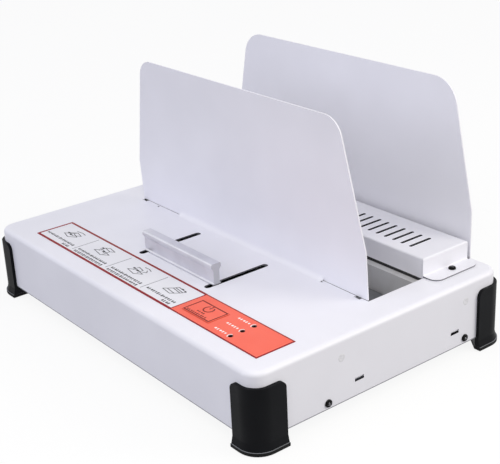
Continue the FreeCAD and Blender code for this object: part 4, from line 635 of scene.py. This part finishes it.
def stroke(points, width, closed=False):
    """A drawn line as four-cornered patches with mitred corners, in millimetres."""
    spots = [Vector(point) for point in points]
    count = len(spots)
    edges = []
    least_mitre = 0.35
    for index in range(count):
        before = spots[index] - spots[index - 1] if closed or index > 0 else None
        after = spots[(index + 1) % count] - spots[index] if closed or index < count - 1 else None
        first = (before or after).normalized()
        second = (after or before).normalized()
        across = Vector((-first.y - second.y, first.x + second.x)).normalized()
        spread = width / 2 / max(least_mitre, across.dot(Vector((-first.y, first.x))))
        edges.append((spots[index] + across * spread, spots[index] - across * spread))
    patches = []
    for index in range(count if closed else count - 1):
        here = edges[index]
        there = edges[(index + 1) % count]
        patches.append([here[0], here[1], there[1], there[0]])
    return patches


def ring(middle, radius, start=0.0, end=360.0, steps=28):
    """Points along a circle or part of one."""
    points = []
    whole = end - start >= 360.0
    for step in range(steps if whole else steps + 1):
        angle = math.radians(start + (end - start) * step / steps)
        points.append((middle[0] + radius * math.cos(angle), middle[1] + radius * math.sin(angle)))
    return points


def printed(name, patches, level, material, body, depth=INK):
    """Patches of ink with a little thickness, whose upper faces lie just above a level.

    Patches that share a side are joined, without a wall between them.
    """
    shape = bmesh.new()
    roof = level + INK
    for patch in patches:
        low = [shape.verts.new((x * MM, y * MM, (roof - depth) * MM)) for x, y in patch]
        high = [shape.verts.new((x * MM, y * MM, roof * MM)) for x, y in patch]
        close_band(shape, low, high)
    bmesh.ops.remove_doubles(shape, verts=shape.verts, dist=JOIN * MM)
    inner = [face for face in shape.faces if all(len(edge.link_faces) > 2 for edge in face.edges)]
    bmesh.ops.delete(shape, geom=inner, context="FACES_ONLY")
    return new_piece(name, mesh_of(name, shape), material, body)


def orange_field():
    """The printed orange ground, open round the key and the lamps."""
    curve = bpy.data.curves.new("orange_field", "CURVE")
    curve.dimensions = "2D"
    curve.fill_mode = "BOTH"
    curve.extrude = INK / 2 * MM
    lamp_hole = 1.85
    front, rear = FILM_LOW.y + PRINT_INSET, FILM_HIGH.y - PRINT_INSET
    loops = [rectangle(ORANGE_LEFT, front, FILM_HIGH.x - PRINT_INSET, rear)]
    front, rear = KEY_LOW.y - KEY_GAP, KEY_HIGH.y + KEY_GAP
    loops.append(rectangle(KEY_LOW.x - KEY_GAP, front, KEY_HIGH.x + KEY_GAP, rear))
    for lamp in LAMPS:
        loops.append(ring(lamp, lamp_hole))
    for loop in loops:
        line = curve.splines.new("POLY")
        line.points.add(len(loop) - 1)
        for point, (x, y) in zip(line.points, loop):
            point.co = (x * MM, y * MM, 0, 1)
        line.use_cyclic_u = True
    holder = bpy.data.objects.new("orange_field", curve)
    bpy.context.scene.collection.objects.link(holder)
    graph = bpy.context.evaluated_depsgraph_get()
    mesh = bpy.data.meshes.new_from_object(holder.evaluated_get(graph))
    bpy.data.objects.remove(holder)
    mesh.transform(Matrix.Translation((0, 0, (FILM_HIGH.z + INK / 2) * MM)))
    return new_piece("panel_orange_field", mesh, ink_orange, "case")


def caption(left, right, row, pitch, tall):
    """A row of short printed marks that stands for a caption, with no letters in it."""
    patches = []
    shares = (0.58, 0.4, 0.62, 0.46, 0.52)
    heights = (0.8, 1.0)
    count = int((right - left) / pitch)
    for index in range(count):
        start = left + index * pitch
        wide = pitch * shares[index % len(shares)]
        half = tall / 2 * heights[index % len(heights)]
        patches.append(rectangle(start, row - half, start + wide, row + half))
    return patches


def shifted(points, middle):
    """Points of a drawing, moved to its place."""
    return [(x + middle[0], y + middle[1]) for x, y in points]


# Plain line drawings for the four steps, in millimetres round their middles: lay flat, stand up, draw the
# handle back, and take out. Each has thin lines, given with whether they close, and solid marks.
STEP_DRAWINGS = (
    (
        (([(-9, -4), (1, -6.5), (9, -1), (-1, 1.5)], True), ([(-6, 0), (3, -2), (10, 3), (1, 5)], True),
         ([(-1, 1.5), (1, 5)], False), ([(-3, 6.5), (5, 8), (11, 7)], False)),
        (rectangle(-8.2, -1.2, -5.4, 0.4), rectangle(-2.4, -2.6, 0.6, -1.0)),
    ),
    (
        (([(-11, -4), (3, -6.5), (10, -1.5), (-4, 1)], True),
         ([(-6, -2.5), (-6, 5), (4, 3.2), (4, -4.6)], False),
         ([(4, 3.2), (8, 6), (-2, 7.8), (-6, 5)], False), ([(-9, 1), (-7.5, 3.5)], False)),
        (rectangle(-9.2, 2.6, -6.2, 4.4), rectangle(-1.6, -1.8, 1.6, 0.0)),
    ),
    (
        (([(-10, -5), (2, -7), (9, -2), (-3, 0)], True),
         ([(-5, -2.5), (-5, 4), (3, 2.6), (3, -3.8)], False),
         ([(6, 0), (9, 2.5), (6, 5)], False), ([(-1, 7.4), (5, 8), (10, 6.4)], False)),
        (rectangle(-8.6, -0.4, -5.8, 1.2), rectangle(-2.2, -1.6, 1.0, 0.2)),
    ),
    (
        (([(-9, -5), (3, -6.5), (9, 0), (-3, 1.5)], True),
         ([(-3, 1.5), (-0.5, 6), (11.5, 4.5), (9, 0)], False),
         ([(-6.5, -2.2), (5.5, -3.8)], False), ([(-2, 3.4), (10.2, 2)], False)),
        (rectangle(3.6, 5.4, 6.4, 6.4), rectangle(8.6, 4.6, 10.8, 5.5)),
    ),
)


def make_step_prints():
    """The white part of the panel: its frame, dividers, step drawings and captions."""
    frame_wide = 2.3
    left, front, rear = FILM_LOW.x + PRINT_INSET, FILM_LOW.y + PRINT_INSET, FILM_HIGH.y - PRINT_INSET
    lines = stroke([(ORANGE_LEFT, front), (left, front), (left, rear), (ORANGE_LEFT, rear)], frame_wide)
    printed("panel_frame", lines, FILM_HIGH.z, ink_red, "case", depth=OVER_EDGE)
    # Dividers, drawings and captions: how far they stay from the edges of the film and of their cells, and
    # their widths and heights.
    margin = 4.3
    thin = 0.75
    line = 0.68
    drawing_back, drawing_left = 14.6, 1.5
    first_up, second_up = 8.9, 4.3
    clear = 4.0
    short_row = 18.0
    pitch = 3.0
    tall = 2.9
    first_step, last_step = 0, len(STEP_DRAWINGS) - 1
    dividers = []
    drawn = []
    for index, (lines, marks) in enumerate(STEP_DRAWINGS):
        left = FILM_LOW.x + CELL * index
        right = min(left + CELL, ORANGE_LEFT)
        if index:
            dividers += stroke([(left, FILM_LOW.y + margin), (left, FILM_HIGH.y - margin)], thin)
        spot = ((left + right) / 2 - drawing_left, FILM_HIGH.y - drawing_back)
        for points, closed in lines:
            drawn += stroke(shifted(points, spot), line, closed)
        for mark in marks:
            drawn.append(shifted(mark, spot))
        drawn += caption(left + clear, right - clear, FILM_LOW.y + first_up, pitch, tall)
        start = right - short_row if index in (first_step, last_step) else left + clear
        drawn += caption(start, right - clear, FILM_LOW.y + second_up, pitch, tall)
    printed("panel_dividers", dividers, FILM_HIGH.z, ink_grey, "case")
    printed("panel_steps", drawn, FILM_HIGH.z, ink_black, "case")


def make_orange_prints():
    """The orange part of the panel: its field and edge, the lamp captions with a painted highlight arc and
    a ring of painted shade at each lamp, and the key's own print.
    """
    orange_field()
    wide = 1.1
    edge = rectangle(ORANGE_LEFT, FILM_LOW.y, FILM_HIGH.x, FILM_HIGH.y)
    level = FILM_HIGH.z + INK
    lines = stroke(edge, wide, True)
    printed("panel_orange_edge", lines, level, ink_red, "case", depth=OVER_EDGE + INK)
    words_far, words_near = 19.7, 4.0
    # Each lamp has a white arc on its left as a painted highlight and a dark ring round its hole as
    # painted shade.
    glint_radius, glint_start, glint_end, glint_wide = 2.7, 110.0, 250.0, 0.8
    shade_ring_radius, shade_ring_wide = 1.95, 0.25
    captions_and_glints = []
    shade_rings = []
    for lamp in LAMPS:
        captions_and_glints += caption(lamp.x - words_far, lamp.x - words_near, lamp.y, pitch=3.1, tall=2.4)
        captions_and_glints += stroke(ring(lamp, glint_radius, glint_start, glint_end), glint_wide)
        shade_rings += stroke(ring(lamp, shade_ring_radius), shade_ring_wide, True)
    printed("lamp_captions_and_glints", captions_and_glints, level, ink_white, "case")
    printed("lamp_shade_rings", shade_rings, level, ink_black, "case")
    margin = 1.0
    line = 1.05
    border = rectangle(KEY_LOW.x + margin, KEY_LOW.y + margin, KEY_HIGH.x - margin, KEY_HIGH.y - margin)
    key = stroke(border, line, True)
    # The key's symbol is a ring with a stem in its gap, and two captions are in front of it.
    symbol_right, symbol_back = -0.1, 3.4
    symbol = KEY + Vector((symbol_right, symbol_back, 0))
    radius, gap_left, gap_right = 4.6, 125.0, 415.0
    stem_start, stem_past = 0.6, 0.8
    stem_low, stem_high = symbol.y + stem_start, symbol.y + radius + stem_past
    key += stroke(ring(symbol, radius, gap_left, gap_right), line)
    key += stroke([(symbol.x, stem_low), (symbol.x, stem_high)], line)
    pitch, tall = 2.6, 1.7
    short_caption, long_caption = (-5.5, 6.0, -4.2), (-14.5, 13.5, -7.6)
    for left, right, row in (short_caption, long_caption):
        key += caption(KEY.x + left, KEY.x + right, KEY.y + row, pitch, tall)
    printed("key_print", key, KEY_HIGH.z, ink_maroon, "key")


def make_switch_marks():
    """The plain bar and ring for on and off, printed on the two faces of the rocker."""
    pivot = middle_of("switch_rocker").x * MM
    line = 0.7
    bar_half, ring_radius = 1.9, 1.8
    bar = stroke([(0, -bar_half), (0, bar_half)], line)
    circle = stroke(ring((0, 0), ring_radius), line, True)
    upward = Vector((0, 0, 1))
    # The two faces look well to the rear and are larger than the rocker's other facets.
    rearward = 0.8
    broad = 10.0 * MM * MM
    for side, name, patches in ((-1, "switch_mark_on", bar), (1, "switch_mark_off", circle)):
        outward = Vector()
        spot = Vector()
        area = 0.0
        for face in NODES["switch_rocker"].data.polygons:
            faces_side = (face.center.x - pivot) * side > 0
            if faces_side and face.normal.y > rearward and face.area > broad:
                outward += face.normal * face.area
                spot += face.center * face.area
                area += face.area
        outward.normalize()
        axes = Matrix((upward.cross(outward), upward, outward)).transposed().to_4x4()
        mark = printed(name, patches, 0.0, ink_white, "rocker")
        mark.data.transform(Matrix.Translation(spot / area) @ axes)


def make_camera():
    """The photograph's viewpoint."""
    turn = math.radians(CAMERA_AZIMUTH)
    rise = math.radians(CAMERA_ELEVATION)
    roll = math.radians(CAMERA_ROLL)
    back = Vector((math.sin(turn) * math.cos(rise), -math.cos(turn) * math.cos(rise), math.sin(rise)))
    right = (-back).cross(Vector((0, 0, 1))).normalized()
    upward = right.cross(-back)
    across = right * math.cos(roll) + upward * math.sin(roll)
    along = upward * math.cos(roll) - right * math.sin(roll)
    data = bpy.data.cameras.new("camera")
    data.sensor_fit = "HORIZONTAL"
    data.sensor_width = SENSOR
    data.lens = CAMERA_LENS
    data.clip_start = NEAREST
    camera = bpy.data.objects.new("camera", data)
    axes = Matrix((across, along, back)).transposed().to_4x4()
    camera.matrix_world = Matrix.Translation(Vector(CAMERA_SPOT) * MM) @ axes
    bpy.context.scene.collection.objects.link(camera)
    bpy.context.scene.camera = camera


def soft_box(name, spot, target, side, watts, tint):
    """A large square soft lamp aimed at a point."""
    data = bpy.data.lights.new(name, "AREA")
    data.shape = "SQUARE"
    data.size = side
    data.energy = watts
    data.color = linear(tint)[:3]
    lamp = bpy.data.objects.new(name, data)
    lamp.location = spot
    aim = Vector(target) - Vector(spot)
    lamp.rotation_euler = aim.to_track_quat("-Z", "Y").to_euler()
    bpy.context.scene.collection.objects.link(lamp)


def seen(tree):
    """One where the eye looks, straight, in a reflection or through glass, and nothing elsewhere."""
    path = add(tree, "ShaderNodeLightPath")
    found = path.outputs["Is Camera Ray"]
    for ray in ("Is Glossy Ray", "Is Transmission Ray"):
        either = {0: found, 1: path.outputs[ray]}
        found = add(tree, "ShaderNodeMath", either, operation="MAXIMUM").outputs[0]
    return found


def make_room():
    """A white room that lights softly from all round."""
    world = bpy.data.worlds.new("studio")
    bpy.context.scene.world = world
    world.use_nodes = True
    tree = world.node_tree
    tree.nodes.clear()
    soft = add(tree, "ShaderNodeBackground", {"Color": linear("F6F6FB"), "Strength": ROOM_LEVEL})
    white = add(tree, "ShaderNodeBackground", {"Color": linear("FFFFFF"), "Strength": BACKDROP_LEVEL})
    mixed = add(tree, "ShaderNodeMixShader", {0: seen(tree), 1: soft.outputs[0], 2: white.outputs[0]})
    add(tree, "ShaderNodeOutputWorld", {"Surface": mixed.outputs[0]})


def make_floor():
    """A white floor that looks bright and still keeps the machine's shadow."""
    shape = bmesh.new()
    reach = 40.0
    drop = -0.0001
    spots = [(x, y, drop) for x, y in rectangle(-reach, -reach, reach, reach)]
    shape.faces.new([shape.verts.new(spot) for spot in spots])
    mesh = mesh_of("floor", shape)
    material = bpy.data.materials.new("studio_floor")
    material.use_nodes = True
    tree = material.node_tree
    tree.nodes.clear()
    glow_share = 0.86
    dull = add(tree, "ShaderNodeBsdfDiffuse", {"Color": linear("8A8A8E")})
    lit = add(tree, "ShaderNodeBsdfDiffuse", {"Color": linear("FAFAFA")})
    glow = add(tree, "ShaderNodeEmission", {"Color": linear("FFFFFF"), "Strength": 1.0})
    both = add(tree, "ShaderNodeMixShader", {0: glow_share, 1: lit.outputs[0], 2: glow.outputs[0]})
    mixed = add(tree, "ShaderNodeMixShader", {0: seen(tree), 1: dull.outputs[0], 2: both.outputs[0]})
    add(tree, "ShaderNodeOutputMaterial", {"Surface": mixed.outputs[0]})
    mesh.materials.append(material)
    floor = bpy.data.objects.new("floor", mesh)
    bpy.context.scene.collection.objects.link(floor)


bpy.context.scene.view_settings.view_transform = "Standard"
make_camera()
make_room()
make_floor()
for name, (spot, target, side, watts, tint) in SOFT_BOXES.items():
    soft_box(name, spot, target, side, watts, tint)
coat_solids()
make_screws()
make_weld_marks()
make_step_prints()
make_orange_prints()
make_switch_marks()
